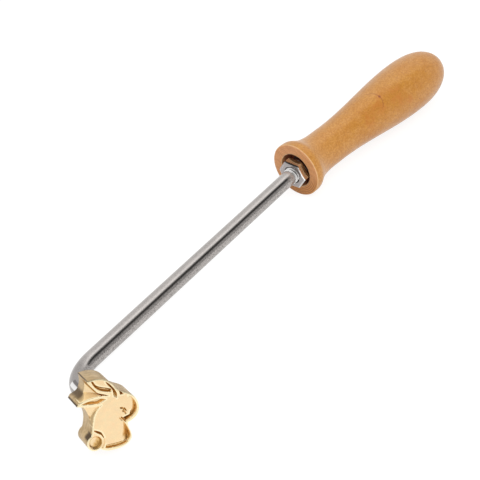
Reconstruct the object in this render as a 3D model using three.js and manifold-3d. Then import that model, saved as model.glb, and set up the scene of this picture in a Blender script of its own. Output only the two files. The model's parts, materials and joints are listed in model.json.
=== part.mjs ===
// A hand stamp: a brass die cut as a sitting rabbit, screwed on the bent end of a steel rod,
// which a lock nut holds in the threaded bush of a turned wooden handle.
// Millimetres, +Z up. It lies on the table, z = 0, on the handle's flange, the rod's bend and
// the die's lower edge. The handle's axis runs along +X, and the die faces -Y.

import * as THREE from 'three';
import { mergeVertices } from 'three/addons/utils/BufferGeometryUtils.js';
import Module from 'manifold-3d';

// Wooden handle: lengths follow each other along its axis from the front face
const flangeRadius = 13.4;
const flangeRound = 0.5;
const flangeLand = 2.7;
const coveLength = 17;
const coveHold = 0.22; // how much of the cove's length keeps near each of its two radii
const neckRadius = 9.6;
const neckLength = 7;
const swellLength = 59.5;
const bellyRadius = 13.9;
const buttLength = 27.9;
const buttFullness = 2.4; // 2 is an ellipse, and more is squarer
const mouthRadius = 8.4;
const mouthDepth = 8;

// Threaded bush, glued in the wood at the bottom of the mouth
const bushRadius = 5.5;
const bushLength = 22;
const bushInset = 0.8; // its front end, behind the handle's front face
const glueGap = 0.3;

// Rod, straight from the handle to the bend, then the leg that carries the die
const rodRadius = 3.55;
const rodReach = 147.3; // handle's front face to the corner of the bend, along the rod's axis
const bendAngle = 74;
const bendRadius = 16.4;
const legLength = 30.8; // corner of the bend to the die's back, along the leg's axis
const threadRise = 0.4; // the rolled thread's crests, above the smooth rod
const threadPlay = 0.1; // thread to threaded hole, on the radius
const threadChamfer = 0.6;
const legThread = 10; // thread in sight behind the die
const bareThread = 2.4; // thread in sight in front of the nut
const bushEngagement = 20;
const rodTilt = 4.2; // the rod's axis against the handle's axis
const tiltSide = 61.6; // side to which the handle leans, from the leg's side, about the rod
const handleBack = 0.28; // handle's front centre off the rod's axis, away from the leg's side
const handleRise = 0.44; // and square to that, upwards

// Lock nut, size M8, thin pattern
const nutAcrossFlats = 13;
const nutThickness = 4;
const nutGap = 0.3; // nut to bush
const nutFaceInset = 0.1; // edge of the round face, inside the flats
const nutChamferAngle = 22;
const nutCountersink = 0.35;
const nutTurn = 24; // a corner of the nut, from the leg's side, about the rod

// Die. The rabbit's points are drawn about the leg's axis, +X to its nose and +Y to its ears,
// on a grid that has 30.6 squares over its height
const gridSize = 0.889;
const dieThickness = 10;
const dieTurn = 147.5; // nose direction, about the leg, from the side away from the handle
const dieEngagement = 7.2;
const holeRunout = 0.8;
const webDepth = 3.1; // ground between and under the ears, below the stamping face
const earDepth = 1.6;
const hollowDepth = 1.4;
const grooveDepth = 1.1;
const tailRadius = 3.1;
const tailRim = 0.55;
const dishDepth = 1; // the round hollow in the tail

// Facets
const roundSteps = 32;
const handleSteps = 48;
const profileSteps = 10;
const bendSteps = 14;
const splineSteps = 3;
const arcSteps = 10;
const mergeGap = 1e-4;
const tablePasses = 20;
const beyond = 1; // how far a cutter passes out of what it cuts

const threadRadius = rodRadius + threadRise;
const holeRadius = threadRadius + threadPlay;
const bend = THREE.MathUtils.degToRad(bendAngle);
const bendCut = bendRadius * Math.tan(bend / 2); // corner of the bend to where it starts
const nutBack = bushInset - nutGap;
const nutFront = nutBack - nutThickness;

const wasm = await Module();
wasm.setup();

/** A closed solid from a closed geometry. */
function solidOf(geometry) {
  const bare = geometry.index ? geometry.toNonIndexed() : geometry.clone();
  bare.deleteAttribute('normal');
  bare.deleteAttribute('uv');
  const merged = mergeVertices(bare, mergeGap);
  const vertProperties = new Float32Array(merged.attributes.position.array);
  const triVerts = new Uint32Array(merged.index.array);
  return new wasm.Manifold(new wasm.Mesh({ numProp: 3, vertProperties, triVerts }));
}

/** The geometry of a solid, with flat faces. */
function geometryOf(solid) {
  const { vertProperties, triVerts } = solid.getMesh();
  const geometry = new THREE.BufferGeometry();
  geometry.setAttribute('position', new THREE.BufferAttribute(vertProperties, 3));
  geometry.setIndex(new THREE.BufferAttribute(triVerts, 1));
  const flat = geometry.toNonIndexed();
  flat.computeVertexNormals();
  return flat;
}

/** A solid turned about +X from (distance along the axis, radius) points that close on it. */
function turned(profile, steps = roundSteps) {
  const points = profile.map(([along, radius]) => new THREE.Vector2(radius, along));
  const geometry = new THREE.LatheGeometry(points, steps);
  geometry.rotateZ(-Math.PI / 2);
  return solidOf(geometry);
}

/** A round bar along +X with chamfered ends. */
function bar(from, to, radius, chamfer = 0) {
  return turned([
    [from, 0], [from, radius - chamfer], [from + chamfer, radius],
    [to - chamfer, radius], [to, radius - chamfer], [to, 0],
  ].filter(([along, r], i, all) => i === 0 || along !== all[i - 1][0] || r !== all[i - 1][1]));
}

/** Points of a curve as [along, radius] pairs. */
const pairs = (curve, steps) => curve.getPoints(steps).map(p => [p.x, p.y]);

/** The handle's outside, from its front face to its rounded end. */
function handleProfile() {
  const coveStart = flangeLand;
  const neckStart = coveStart + coveLength;
  const swellStart = neckStart + neckLength;
  const belly = swellStart + swellLength;
  const cove = new THREE.CubicBezierCurve(
    new THREE.Vector2(coveStart, flangeRadius),
    new THREE.Vector2(coveStart + coveHold * coveLength, flangeRadius),
    new THREE.Vector2(coveStart + coveHold * coveLength, neckRadius),
    new THREE.Vector2(neckStart, neckRadius));
  const swell = [];
  for (let i = 0; i <= profileSteps; i++) {
    const t = i / profileSteps;
    const ease = t * t * (3 - 2 * t);
    swell.push([swellStart + t * swellLength, neckRadius + ease * (bellyRadius - neckRadius)]);
  }
  const butt = [];
  for (let i = 1; i <= profileSteps; i++) {
    const w = i / profileSteps * Math.PI / 2;
    const along = Math.sin(w) ** (2 / buttFullness);
    const across = i < profileSteps ? Math.cos(w) ** (2 / buttFullness) : 0;
    butt.push([belly + along * buttLength, across * bellyRadius]);
  }
  return [
    [0, 0], [0, flangeRadius - flangeRound], [flangeRound, flangeRadius],
    ...pairs(cove, profileSteps).slice(0, -1), ...swell, ...butt,
  ];
}

/** The thin hexagon nut along +X, chamfered at both faces. */
function nutSolid() {
  const corner = nutAcrossFlats / Math.sqrt(3);
  const outline = new THREE.Shape();
  for (let i = 0; i < 6; i++) {
    const angle = i * Math.PI / 3;
    const x = corner * Math.cos(angle);
    const y = corner * Math.sin(angle);
    if (i === 0) outline.moveTo(x, y);
    else outline.lineTo(x, y);
  }
  outline.closePath();
  const prism = new THREE.ExtrudeGeometry(outline, { depth: nutThickness, bevelEnabled: false });
  // the outline's X becomes the direction of the leg's side, -Y, and its depth runs along +X
  prism.applyMatrix4(new THREE.Matrix4().makeBasis(
    new THREE.Vector3(0, -1, 0), new THREE.Vector3(0, 0, -1), new THREE.Vector3(1, 0, 0)));
  prism.rotateX(THREE.MathUtils.degToRad(nutTurn));
  const face = nutAcrossFlats / 2 - nutFaceInset;
  const wide = corner + nutFaceInset;
  const slope = (wide - face) * Math.tan(THREE.MathUtils.degToRad(nutChamferAngle));
  const round = turned([
    [0, 0], [0, face], [slope, wide],
    [nutThickness - slope, wide], [nutThickness, face], [nutThickness, 0],
  ], handleSteps);
  const hole = turned([
    [-beyond, 0], [-beyond, holeRadius + nutCountersink + beyond],
    [nutCountersink, holeRadius], [nutThickness - nutCountersink, holeRadius],
    [nutThickness + beyond, holeRadius + nutCountersink + beyond], [nutThickness + beyond, 0],
  ]);
  return solidOf(prism).intersect(round).subtract(hole).translate([nutFront, 0, 0]);
}

/** The smooth rod's centre line: a straight run, the bend, and the leg on the -Y side. */
class BentLine extends THREE.Curve {
  constructor(start, legEnd) {
    super();
    this.start = start;
    this.legEnd = legEnd;
  }

  /** Even steps of t land on the two ends and on the stations of the bend. */
  getUtoTmapping(u) {
    return u;
  }

  getPoint(t, target = new THREE.Vector3()) {
    const station = t * (bendSteps + 2);
    const turn = THREE.MathUtils.clamp((station - 1) / bendSteps, 0, 1) * bend;
    target.set(-rodReach + bendCut - bendRadius * Math.sin(turn),
      -bendRadius * (1 - Math.cos(turn)), 0);
    const before = Math.max(1 - station, 0);
    const after = Math.max(station - 1 - bendSteps, 0);
    const run = after * (this.legEnd - bendCut);
    target.x += before * (this.start + rodReach - bendCut) - run * Math.cos(bend);
    target.y -= run * Math.sin(bend);
    return target;
  }
}

/** The bent rod along +X, with a thread at each end. */
function rodSolid() {
  const threadStart = nutFront - bareThread;
  const threadFrom = legLength - legThread;
  const section = new THREE.Shape();
  for (let i = 0; i < roundSteps; i++) {
    const angle = 2 * Math.PI * i / roundSteps;
    const x = rodRadius * Math.cos(angle);
    const y = rodRadius * Math.sin(angle);
    if (i === 0) section.moveTo(x, y);
    else section.lineTo(x, y);
  }
  section.closePath();
  const path = new BentLine(threadStart + beyond, threadFrom + beyond);
  const smooth = new THREE.ExtrudeGeometry(section, { extrudePath: path, steps: bendSteps + 2 });
  const screw = bar(threadStart, bushInset + bushEngagement, threadRadius, threadChamfer);
  const toLeg = new THREE.Matrix4().makeTranslation(-rodReach, 0, 0)
    .multiply(new THREE.Matrix4().makeRotationZ(bend));
  const stud = bar(-legLength - dieEngagement, -threadFrom, threadRadius, threadChamfer)
    .transform(toLeg.toArray());
  return solidOf(smooth).add(screw).add(stud);
}

/** A closed outline. Each entry is a stretch: one point is a straight run, more are a spline. */
function outlineOf(start, ...stretches) {
  const point = ([x, y]) => new THREE.Vector2(x * gridSize, y * gridSize);
  const shape = new THREE.Shape();
  const first = point(start);
  shape.moveTo(first.x, first.y);
  for (const stretch of stretches) {
    const points = stretch.map(point);
    if (points.length === 1) shape.lineTo(points[0].x, points[0].y);
    else shape.splineThru(points);
  }
  shape.closePath();
  return shape;
}

/** A shape extruded between two heights on the die. */
function block(shape, low, high) {
  const geometry = new THREE.ExtrudeGeometry(shape,
    { depth: high - low, bevelEnabled: false, curveSegments: splineSteps });
  geometry.translate(0, 0, low);
  return solidOf(geometry);
}

/** Points of an arc in degrees, both ends included. */
function arc([cx, cy], radius, from, to) {
  const points = [];
  for (let i = 0; i <= arcSteps; i++) {
    const angle = THREE.MathUtils.degToRad(from + (to - from) * i / arcSteps);
    points.push([cx + radius * Math.cos(angle), cy + radius * Math.sin(angle)]);
  }
  return points;
}

const tailCentre = [-4.5, -10.2];
const tailFrom = 125; // where the tail's arc leaves the back and meets the feet, in degrees
const tailTo = 306;
const earTip = [-9.5, 15.7];
const lowEarTip = [-13, 5.6];
const chin = [8.7, -3.2];

/** The rabbit's outline, anticlockwise from the tip of its upper ear. */
function rabbitOutline() {
  return outlineOf(earTip,
    [[-8.9, 13.8], [-8.8, 11.2], [-9.7, 8.7], [-12.3, 7]],
    [lowEarTip],
    [[-11.2, 5.3], [-9.2, 3.9], [-7.6, 1.6], [-6.5, -1], [-6.1, -3.8], [-6.3, -6.6]],
    arc(tailCentre, tailRadius / gridSize, tailFrom, tailTo),
    [[-1.6, -13.5]],
    [[1.1, -14.2], [4.3, -14], [7.6, -13.1], [9.8, -11.6], [10.8, -9.6], [10.2, -7.2],
      [9.2, -5.2], chin],
    [[10.9, -1.9], [12.5, -0.3], [13.2, 2.4], [12.3, 5.6], [10.4, 8], [8.2, 9.3], [6, 10.1],
      [3.9, 11]],
    [[2.3, 12.3], [0.6, 14.2], [-1.5, 15.6], [-3.8, 16.3], [-6.3, 16.4]]);
}

/** The hollows in the stamping face, each an outline and a depth. */
function hollows() {
  return [
    // ground between the ears, open to the notch
    [outlineOf(earTip,
      [[-8, 13.4], [-6.4, 11.6], [-4.5, 10.5], [-2.5, 9.9], [-0.6, 9.2]],
      [[-3, 9.4], [-5.9, 9.2], [-9, 8.3], [-12.3, 7]],
      [[-15, 9]], [[-13, 17]]), webDepth],
    // ground between the lower ear and the back
    [outlineOf(lowEarTip,
      [[-15, 3]], [[-9, -1.5]], [[-6.1, -0.8]],
      [[-6, 0.6], [-5.5, 2.3], [-4.6, 3.9], [-3.2, 5.4]],
      [[-6.2, 5], [-9.5, 5.2]]), webDepth],
    // inside of the lower ear
    [outlineOf([-11.4, 6.2],
      [[-8.3, 6], [-5.8, 6.3], [-3.4, 6.9], [-1.6, 7.6]],
      [[-4.3, 8.1], [-6.5, 8], [-8.9, 7.2]]), earDepth],
    // inside of the upper ear
    [outlineOf([-7.9, 15.3],
      [[-5.4, 12.6], [-2.5, 11.3], [0.5, 10.7]],
      [[1.3, 11.3], [0.8, 12]],
      [[-1.4, 12.3], [-3.6, 12.9], [-5.3, 13.9], [-6.8, 15.4]]), earDepth],
    // fold beside the upper ear's rim
    [outlineOf([-1.5, 14.9],
      [[-0.3, 13.4], [0.8, 11.4], [1.7, 9.2], [3.1, 7.9]],
      [[3, 9.3], [2.3, 11], [0.8, 13.1]]), hollowDepth],
    // gap between the ear's root and the forehead
    [outlineOf([4.3, 9.4], [[5.9, 9.1]], [[4.2, 10.5]]), grooveDepth],
    // cheek, along the rim of the face
    [outlineOf([8.8, 7.2],
      [[9.9, 4.6], [10.3, 2.2], [9.4, 0.4], [6.6, -0.3]],
      [[7.6, -2.1]],
      [[10, -1.3], [11.5, 0.1], [12, 2.3], [11, 4.9]]), hollowDepth],
    // breast, along the rim down to the feet
    [outlineOf([6.2, -2.6],
      [[6.9, -5.6], [7.4, -8.6], [7.3, -10.9]],
      [[9.3, -10.9]],
      [[9.8, -9.4], [9.3, -7.5], [8, -4.9]]), hollowDepth],
    // groove over the feet
    [outlineOf([-0.6, -11.8],
      [[-0.4, -13]],
      [[3, -13], [6.6, -12.3], [9, -11.2]],
      [[6.6, -11.2], [3, -11.8]]), grooveDepth],
    // groove round the top of the tail
    [outlineOf([-5.4, -5.4],
      [[-4.6, -6.2], [-2.9, -6.8], [-1.7, -8.4]],
      [[-1.2, -8.2]],
      [[-1.9, -6.4], [-3.6, -5.3]]), hollowDepth],
  ];
}

/** The die: its back lies on z = 0, its stamping face on z = dieThickness. */
function dieSolid() {
  let die = block(rabbitOutline(), 0, dieThickness);
  for (const [shape, depth] of hollows()) {
    die = die.subtract(block(shape, dieThickness - depth, dieThickness + beyond));
  }
  const dishRadius = tailRadius - tailRim;
  const ball = (dishRadius ** 2 + dishDepth ** 2) / (2 * dishDepth);
  const dish = new THREE.SphereGeometry(ball, roundSteps, roundSteps / 2);
  dish.rotateX(Math.PI / 2);
  const [tailX, tailY] = tailCentre;
  dish.translate(tailX * gridSize, tailY * gridSize, dieThickness - dishDepth + ball);
  const hole = bar(-beyond, dieEngagement + holeRunout, holeRadius);
  return die.subtract(solidOf(dish)).subtract(hole.rotate([0, -90, 0]));
}

/** A named mesh of a solid in one colour. */
function mesh(name, solid, colour, roughness, metalness) {
  const material = new THREE.MeshStandardMaterial({ color: colour, roughness, metalness });
  const result = new THREE.Mesh(geometryOf(solid), material);
  result.name = name;
  return result;
}

/** Every corner of a mesh, in the frame of the assembly. */
function corners(part) {
  const { position } = part.geometry.attributes;
  const points = [];
  for (let i = 0; i < position.count; i++) {
    points.push(new THREE.Vector3().fromBufferAttribute(position, i).applyMatrix4(part.matrixWorld));
  }
  return points;
}

/** The point that lies lowest along a direction. */
const lowest = (points, up) => points.reduce((low, p) => (p.dot(up) < low.dot(up) ? p : low));

/** The upward normal of the table that three pieces all touch from above. */
function tableNormal(pieces) {
  const clouds = pieces.map(corners);
  const up = new THREE.Vector3(0, 0, 1);
  for (let pass = 0; pass < tablePasses; pass++) {
    const [a, b, c] = clouds.map(points => lowest(points, up));
    up.crossVectors(b.clone().sub(a), c.clone().sub(a)).normalize();
    if (up.z < 0) up.negate();
  }
  return up;
}

// The rod's axis is the assembly's X axis, and the handle leans from it
const assembly = new THREE.Group();
const tilt = THREE.MathUtils.degToRad(rodTilt);
const side = THREE.MathUtils.degToRad(tiltSide);
const handleAxis = new THREE.Vector3(
  Math.cos(tilt), -Math.sin(tilt) * Math.cos(side), -Math.sin(tilt) * Math.sin(side));
const handleGroup = new THREE.Group();
handleGroup.quaternion.setFromUnitVectors(new THREE.Vector3(1, 0, 0), handleAxis);
handleGroup.position.set(0, handleBack, handleRise);
handleGroup.updateMatrixWorld(true);

const mouth = bar(-beyond, mouthDepth, mouthRadius);
const bushSeat = bar(0, bushInset + bushLength, bushRadius + glueGap)
  .transform(handleGroup.matrixWorld.clone().invert().toArray());
const handleSolid = turned(handleProfile(), handleSteps).subtract(mouth).subtract(bushSeat);
const wood = mesh('wooden_handle', handleSolid, 0xcf9a55, 0.45, 0);
handleGroup.add(wood);

const bushSolid = bar(bushInset, bushInset + bushLength - glueGap, bushRadius, threadChamfer)
  .subtract(bar(bushInset - beyond, bushInset + bushLength, holeRadius));
const bush = mesh('threaded_bush', bushSolid, 0xb9b7b0, 0.35, 1);
const rod = mesh('rod', rodSolid(), 0xa8a6a3, 0.4, 1);
const nut = mesh('lock_nut', nutSolid(), 0xd4d4d2, 0.25, 1);

// The die stands on the leg, turned about it
const leg = new THREE.Vector3(-Math.cos(bend), -Math.sin(bend), 0);
const away = new THREE.Vector3(-Math.sin(bend), Math.cos(bend), 0);
const nose = away.clone().applyAxisAngle(leg, THREE.MathUtils.degToRad(dieTurn));
const ears = new THREE.Vector3().crossVectors(leg, nose);
const dieGroup = new THREE.Group();
dieGroup.quaternion.setFromRotationMatrix(new THREE.Matrix4().makeBasis(nose, ears, leg));
dieGroup.position.set(-rodReach, 0, 0).addScaledVector(leg, legLength);
const die = mesh('stamp_head', dieSolid(), 0xe3c277, 0.3, 1);
dieGroup.add(die);

assembly.add(handleGroup, bush, rod, nut, dieGroup);
assembly.updateMatrixWorld(true);

// Lay it on the table, turn the handle's axis to +X and centre it
const up = tableNormal([wood, rod, die]);
const along = handleAxis.clone().addScaledVector(up, -handleAxis.dot(up)).normalize();
const across = new THREE.Vector3().crossVectors(up, along);
const laid = new THREE.Matrix4().makeBasis(along, across, up).invert();
assembly.quaternion.setFromRotationMatrix(laid);
assembly.updateMatrixWorld(true);
const box = new THREE.Box3().setFromObject(assembly, true);
const middle = box.getCenter(new THREE.Vector3());
assembly.position.set(-middle.x, -middle.y, -box.min.z);

const handStamp = new THREE.Group();
handStamp.add(assembly);
handStamp.updateMatrixWorld(true);

export default handStamp;
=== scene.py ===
"""A brass hand stamp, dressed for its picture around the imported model.

The stamp lies on a pale table. A thick brass die, cut as a sitting rabbit, is screwed on the bent
end of a steel rod. The rod's other end is screwed in the bush of a turned wooden handle, and a
thin nut locks it there. Every part is shaped in millimetres in a frame of its own, which is worked
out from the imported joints, and is then set in its place in metres.
"""

from __future__ import annotations

import json
import logging
import math
from dataclasses import dataclass, field
from enum import Enum
from typing import Callable, Iterable, Sequence

import bmesh
import bpy
import numpy as np
from mathutils import Matrix, Vector

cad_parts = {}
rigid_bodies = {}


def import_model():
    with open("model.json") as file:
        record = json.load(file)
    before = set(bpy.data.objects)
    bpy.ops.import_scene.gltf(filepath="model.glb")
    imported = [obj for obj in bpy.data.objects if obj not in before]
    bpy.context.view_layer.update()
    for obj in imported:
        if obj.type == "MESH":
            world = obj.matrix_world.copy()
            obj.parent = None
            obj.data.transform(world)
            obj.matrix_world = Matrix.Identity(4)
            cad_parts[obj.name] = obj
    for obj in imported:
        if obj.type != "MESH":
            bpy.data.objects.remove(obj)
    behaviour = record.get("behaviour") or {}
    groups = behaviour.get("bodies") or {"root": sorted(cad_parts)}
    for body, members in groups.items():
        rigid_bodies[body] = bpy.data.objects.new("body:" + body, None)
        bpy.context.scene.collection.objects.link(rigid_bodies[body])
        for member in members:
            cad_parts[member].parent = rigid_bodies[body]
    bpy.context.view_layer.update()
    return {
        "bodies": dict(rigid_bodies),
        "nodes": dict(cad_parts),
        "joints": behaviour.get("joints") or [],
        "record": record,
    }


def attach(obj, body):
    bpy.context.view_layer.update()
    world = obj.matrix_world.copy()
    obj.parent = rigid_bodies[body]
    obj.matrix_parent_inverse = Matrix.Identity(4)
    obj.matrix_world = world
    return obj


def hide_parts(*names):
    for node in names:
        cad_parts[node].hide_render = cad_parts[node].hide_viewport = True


Pair = tuple[float, float]
Triple = tuple[float, float, float]
Colour = tuple[float, float, float]

MM = 0.001
TINY = 1e-4
TEXTURE_PLACE = "texture_place"
# the die's patina, which also carries its painted highlights and painted shade
PATINA_AND_PAINTED_LIGHT = "patina"
log = logging.getLogger("hand_stamp")

# How far a cutter passes the surface that it cuts, in millimetres
OVERCUT = 1.0
# Angle of the rabbit's nose about the leg, in degrees
NOSE_ANGLE = 147.5


class Cut(Enum):
    """How one closed shape acts on another."""

    JOIN = "UNION"
    REMOVE = "DIFFERENCE"
    KEEP = "INTERSECT"


class Body(Enum):
    """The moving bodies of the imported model."""

    HANDLE = "handle"
    ROD = "rod"
    NUT = "lock_nut"
    HEAD = "stamp_head"


# Shapes


def picked(geometry: Iterable[object], kind: type) -> list:
    """Picks the vertices, edges or faces out of what an operator gives.

    Args:
        geometry: What the operator gives.
        kind: The type that is wanted.

    Returns:
        The items of that type.
    """
    return [item for item in geometry if isinstance(item, kind)]


def strung(profile: Sequence[Pair]) -> tuple[bmesh.types.BMesh, list]:
    """Strings a profile in a new shape.

    Args:
        profile: (distance along X, radius) pairs.

    Returns:
        The shape, and its vertices and edges.
    """
    bm = bmesh.new()
    verts = [bm.verts.new((along, radius, 0)) for along, radius in profile]
    edges = [bm.edges.new(pair) for pair in zip(verts, verts[1:])]
    return bm, verts + edges


def spun(
    bm: bmesh.types.BMesh, geometry: list, angle: float, steps: int,
    centre: Triple = (0, 0, 0), axis: Triple = (1, 0, 0), advance: float = 0, merge: bool = False,
) -> list:
    """Spins geometry about an axis.

    Args:
        bm: The shape, which is changed.
        geometry: What is spun.
        angle: How far, in radians.
        steps: Flats on the way.
        centre: A point of the axis.
        axis: The axis.
        advance: How far each step goes along X.
        merge: Whether the last step meets the first.

    Returns:
        The geometry of the last step.
    """
    return bmesh.ops.spin(
        bm, geom=geometry, cent=centre, axis=axis, dvec=(advance, 0, 0), angle=angle, steps=steps,
        use_merge=merge, use_normal_flip=False, use_duplicate=False)["geom_last"]


def turned(profile: Sequence[Pair], steps: int) -> bmesh.types.BMesh:
    """Spins a profile about X into a closed shape.

    Args:
        profile: (distance along X, radius) pairs. It starts and ends on the axis, or closes.
        steps: Flats round the axis.

    Returns:
        The closed shape.
    """
    bm, geometry = strung(profile)
    spun(bm, geometry, math.tau, steps, merge=True)
    return closed(bm)


def closed(bm: bmesh.types.BMesh) -> bmesh.types.BMesh:
    """Merges doubles and points the faces of a shape outwards.

    Args:
        bm: The shape, which is changed.

    Returns:
        The same shape.
    """
    bmesh.ops.remove_doubles(bm, verts=bm.verts, dist=TINY)
    bmesh.ops.dissolve_degenerate(bm, edges=bm.edges, dist=TINY)
    bmesh.ops.recalc_face_normals(bm, faces=bm.faces)
    return bm


def prism(outline: Sequence[Pair], low: float, high: float) -> bmesh.types.BMesh:
    """Raises an outline in X and Y between two heights.

    Args:
        outline: The corners, without a repeat of the first.
        low: Height of the lower face.
        high: Height of the upper face.

    Returns:
        The closed prism.
    """
    bm = bmesh.new()
    face = bm.faces.new([bm.verts.new((x, y, low)) for x, y in outline])
    raised = bmesh.ops.extrude_face_region(bm, geom=[face])["geom"]
    bmesh.ops.translate(bm, verts=picked(raised, bmesh.types.BMVert), vec=(0, 0, high - low))
    return closed(bm)


def rounded(bm: bmesh.types.BMesh, edges: list, width: float, segments: int) -> None:
    """Rounds edges of a shape.

    Args:
        bm: The shape, which is changed.
        edges: The edges.
        width: How far the round reaches on each side.
        segments: Flats across it.
    """
    bmesh.ops.bevel(
        bm, geom=edges, offset=width, offset_type="OFFSET", segments=segments, profile=0.5,
        affect="EDGES", material=-1, clamp_overlap=True)


def moved(bm: bmesh.types.BMesh, matrix: Matrix) -> bmesh.types.BMesh:
    """Moves a whole shape.

    Args:
        bm: The shape, which is changed.
        matrix: Where it goes.

    Returns:
        The same shape.
    """
    bmesh.ops.transform(bm, matrix=matrix, verts=bm.verts)
    return bm


def loose_object(bm: bmesh.types.BMesh, name: str) -> bpy.types.Object:
    """Puts a shape in a new object of the scene and frees the shape.

    Args:
        bm: The shape.
        name: The object's name.

    Returns:
        The object.
    """
    mesh = bpy.data.meshes.new(name)
    bm.to_mesh(mesh)
    bm.free()
    piece = bpy.data.objects.new(name, mesh)
    bpy.context.scene.collection.objects.link(piece)
    return piece


def combined(base: bmesh.types.BMesh, tool: bmesh.types.BMesh, cut: Cut) -> bmesh.types.BMesh:
    """Joins two closed shapes, or cuts one with the other. Both are used up.

    Args:
        base: The shape that is kept.
        tool: The shape that acts on it.
        cut: What it does.

    Returns:
        The new shape.
    """
    kept = loose_object(base, "kept")
    other = loose_object(tool, "other")
    modifier = kept.modifiers.new("cut", "BOOLEAN")
    modifier.operation = cut.value
    modifier.solver = "EXACT"
    modifier.object = other
    depsgraph = bpy.context.evaluated_depsgraph_get()
    result = bmesh.new()
    result.from_mesh(kept.evaluated_get(depsgraph).to_mesh())
    for spent in (kept, other):
        mesh = spent.data
        bpy.data.objects.remove(spent)
        bpy.data.meshes.remove(mesh)
    return result


def placed(
    bm: bmesh.types.BMesh, name: str, frame: Matrix, finish: bpy.types.Material,
    sharp: float = 32, texture_place: Callable[[Vector], Vector] | None = None,
) -> bpy.types.Object:
    """Makes a finished shape a piece in its place, with smooth faces and sharp edges.

    Args:
        bm: The shape, in millimetres in the part's own frame. It is used up.
        name: The piece's name.
        frame: The part's own frame, in metres.
        finish: The material.
        sharp: Angle in degrees past which an edge stays sharp.
        texture_place: Gives the texture place of a point, where it isn't the point itself.

    Returns:
        The piece.
    """
    if texture_place is not None:
        layer = bm.verts.layers.float_vector.new(TEXTURE_PLACE)
        for vert in bm.verts:
            vert[layer] = texture_place(vert.co)
    piece = loose_object(moved(bm, frame @ Matrix.Scale(MM, 4)), name)
    piece.data.shade_smooth()
    piece.data.set_sharp_from_angle(angle=math.radians(sharp))
    piece.data.materials.append(finish)
    return piece


def curve_through(points: Sequence[Pair], steps: int) -> list[Pair]:
    """Puts a smooth curve through points, without the last one.

    Args:
        points: The points that the curve passes.
        steps: Pieces between two points.

    Returns:
        The points of the curve.
    """
    if len(points) == 2:
        return [points[0]]
    ends = [Vector(p) for p in points]
    padded = [ends[0], *ends, ends[-1]]
    path = []
    for a, b, c, d in zip(padded, padded[1:], padded[2:], padded[3:]):
        for i in range(steps):
            t = i / steps
            point = 0.5 * (
                2 * b + (c - a) * t + (2 * a - 5 * b + 4 * c - d) * t ** 2
                + (3 * b - a - 3 * c + d) * t ** 3)
            path.append((point.x, point.y))
    return path


def eased(value: float) -> float:
    """Turns 0 to 1 into a soft step."""
    t = min(max(value, 0.0), 1.0)
    return t * t * (3 - 2 * t)


# Where things lie


@dataclass(frozen=True)
class Bench:
    """The frames of the stamp's parts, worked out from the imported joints.

    The rod's frame has X along the rod into the handle, -Y on the leg's side, and its origin at
    the handle's front face. The die's frame has Z along the leg, out of the stamping face, X to
    the rabbit's nose and Y to its ears, and its origin at the middle of the die's back.
    """

    rod: Matrix
    handle: Matrix
    die: Matrix
    bend: float
    reach: float
    leg_length: float

    @classmethod
    def from_joints(cls, joints: Sequence[dict], lean: "Lean", die_turn: float) -> "Bench":
        """Reads the rod's and the leg's axes from the joints.

        Args:
            joints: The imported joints.
            lean: How the handle leans from the rod.
            die_turn: Angle of the nose about the leg, in degrees.

        Returns:
            The bench.
        """
        named = {joint["name"]: joint for joint in joints}
        rod_joint, head_joint = named["rod_turn"], named["head_turn"]
        along = Vector(rod_joint["axis"]).normalized()
        leg = Vector(head_joint["axis"]).normalized()
        across = -(leg - leg.dot(along) * along).normalized()
        up = along.cross(across)
        origin, back = Vector(rod_joint["pos_m"]), Vector(head_joint["pos_m"])
        rod = framed(along, across, up, origin)
        bend = math.acos(-leg.dot(along))
        leg_length = -(back - origin).dot(across) / math.sin(bend) / MM
        reach = -(back - origin).dot(along) / MM - leg_length * math.cos(bend)
        away = (rod.to_3x3() @ Vector((-math.sin(bend), math.cos(bend), 0))).normalized()
        nose = Matrix.Rotation(math.radians(die_turn), 3, leg) @ away
        die = framed(nose, leg.cross(nose), leg, back)
        return cls(rod, rod @ lean.matrix(), die, bend, reach, leg_length)


@dataclass(frozen=True)
class Lean:
    """How the handle leans from the rod that is screwed in it: degrees and millimetres."""

    tilt: float = 4.2
    side: float = 61.6
    back: float = 0.28
    rise: float = 0.44

    def matrix(self) -> Matrix:
        """Works out where the handle lies from the rod.

        Returns:
            The handle's frame in the rod's frame, in metres.
        """
        tilt, side = math.radians(self.tilt), math.radians(self.side)
        axis = Vector((
            math.cos(tilt), -math.sin(tilt) * math.cos(side), -math.sin(tilt) * math.sin(side)))
        turn = Vector((1, 0, 0)).rotation_difference(axis).to_matrix().to_4x4()
        return Matrix.Translation((0, self.back * MM, self.rise * MM)) @ turn


def framed(x: Vector, y: Vector, z: Vector, origin: Vector) -> Matrix:
    """Makes a frame from its axes.

    Args:
        x: The first axis.
        y: The second axis.
        z: The third axis.
        origin: Where the frame lies.

    Returns:
        The frame.
    """
    frame = Matrix((x, y, z)).transposed().to_4x4()
    frame.translation = origin
    return frame


# Shader nodes


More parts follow.
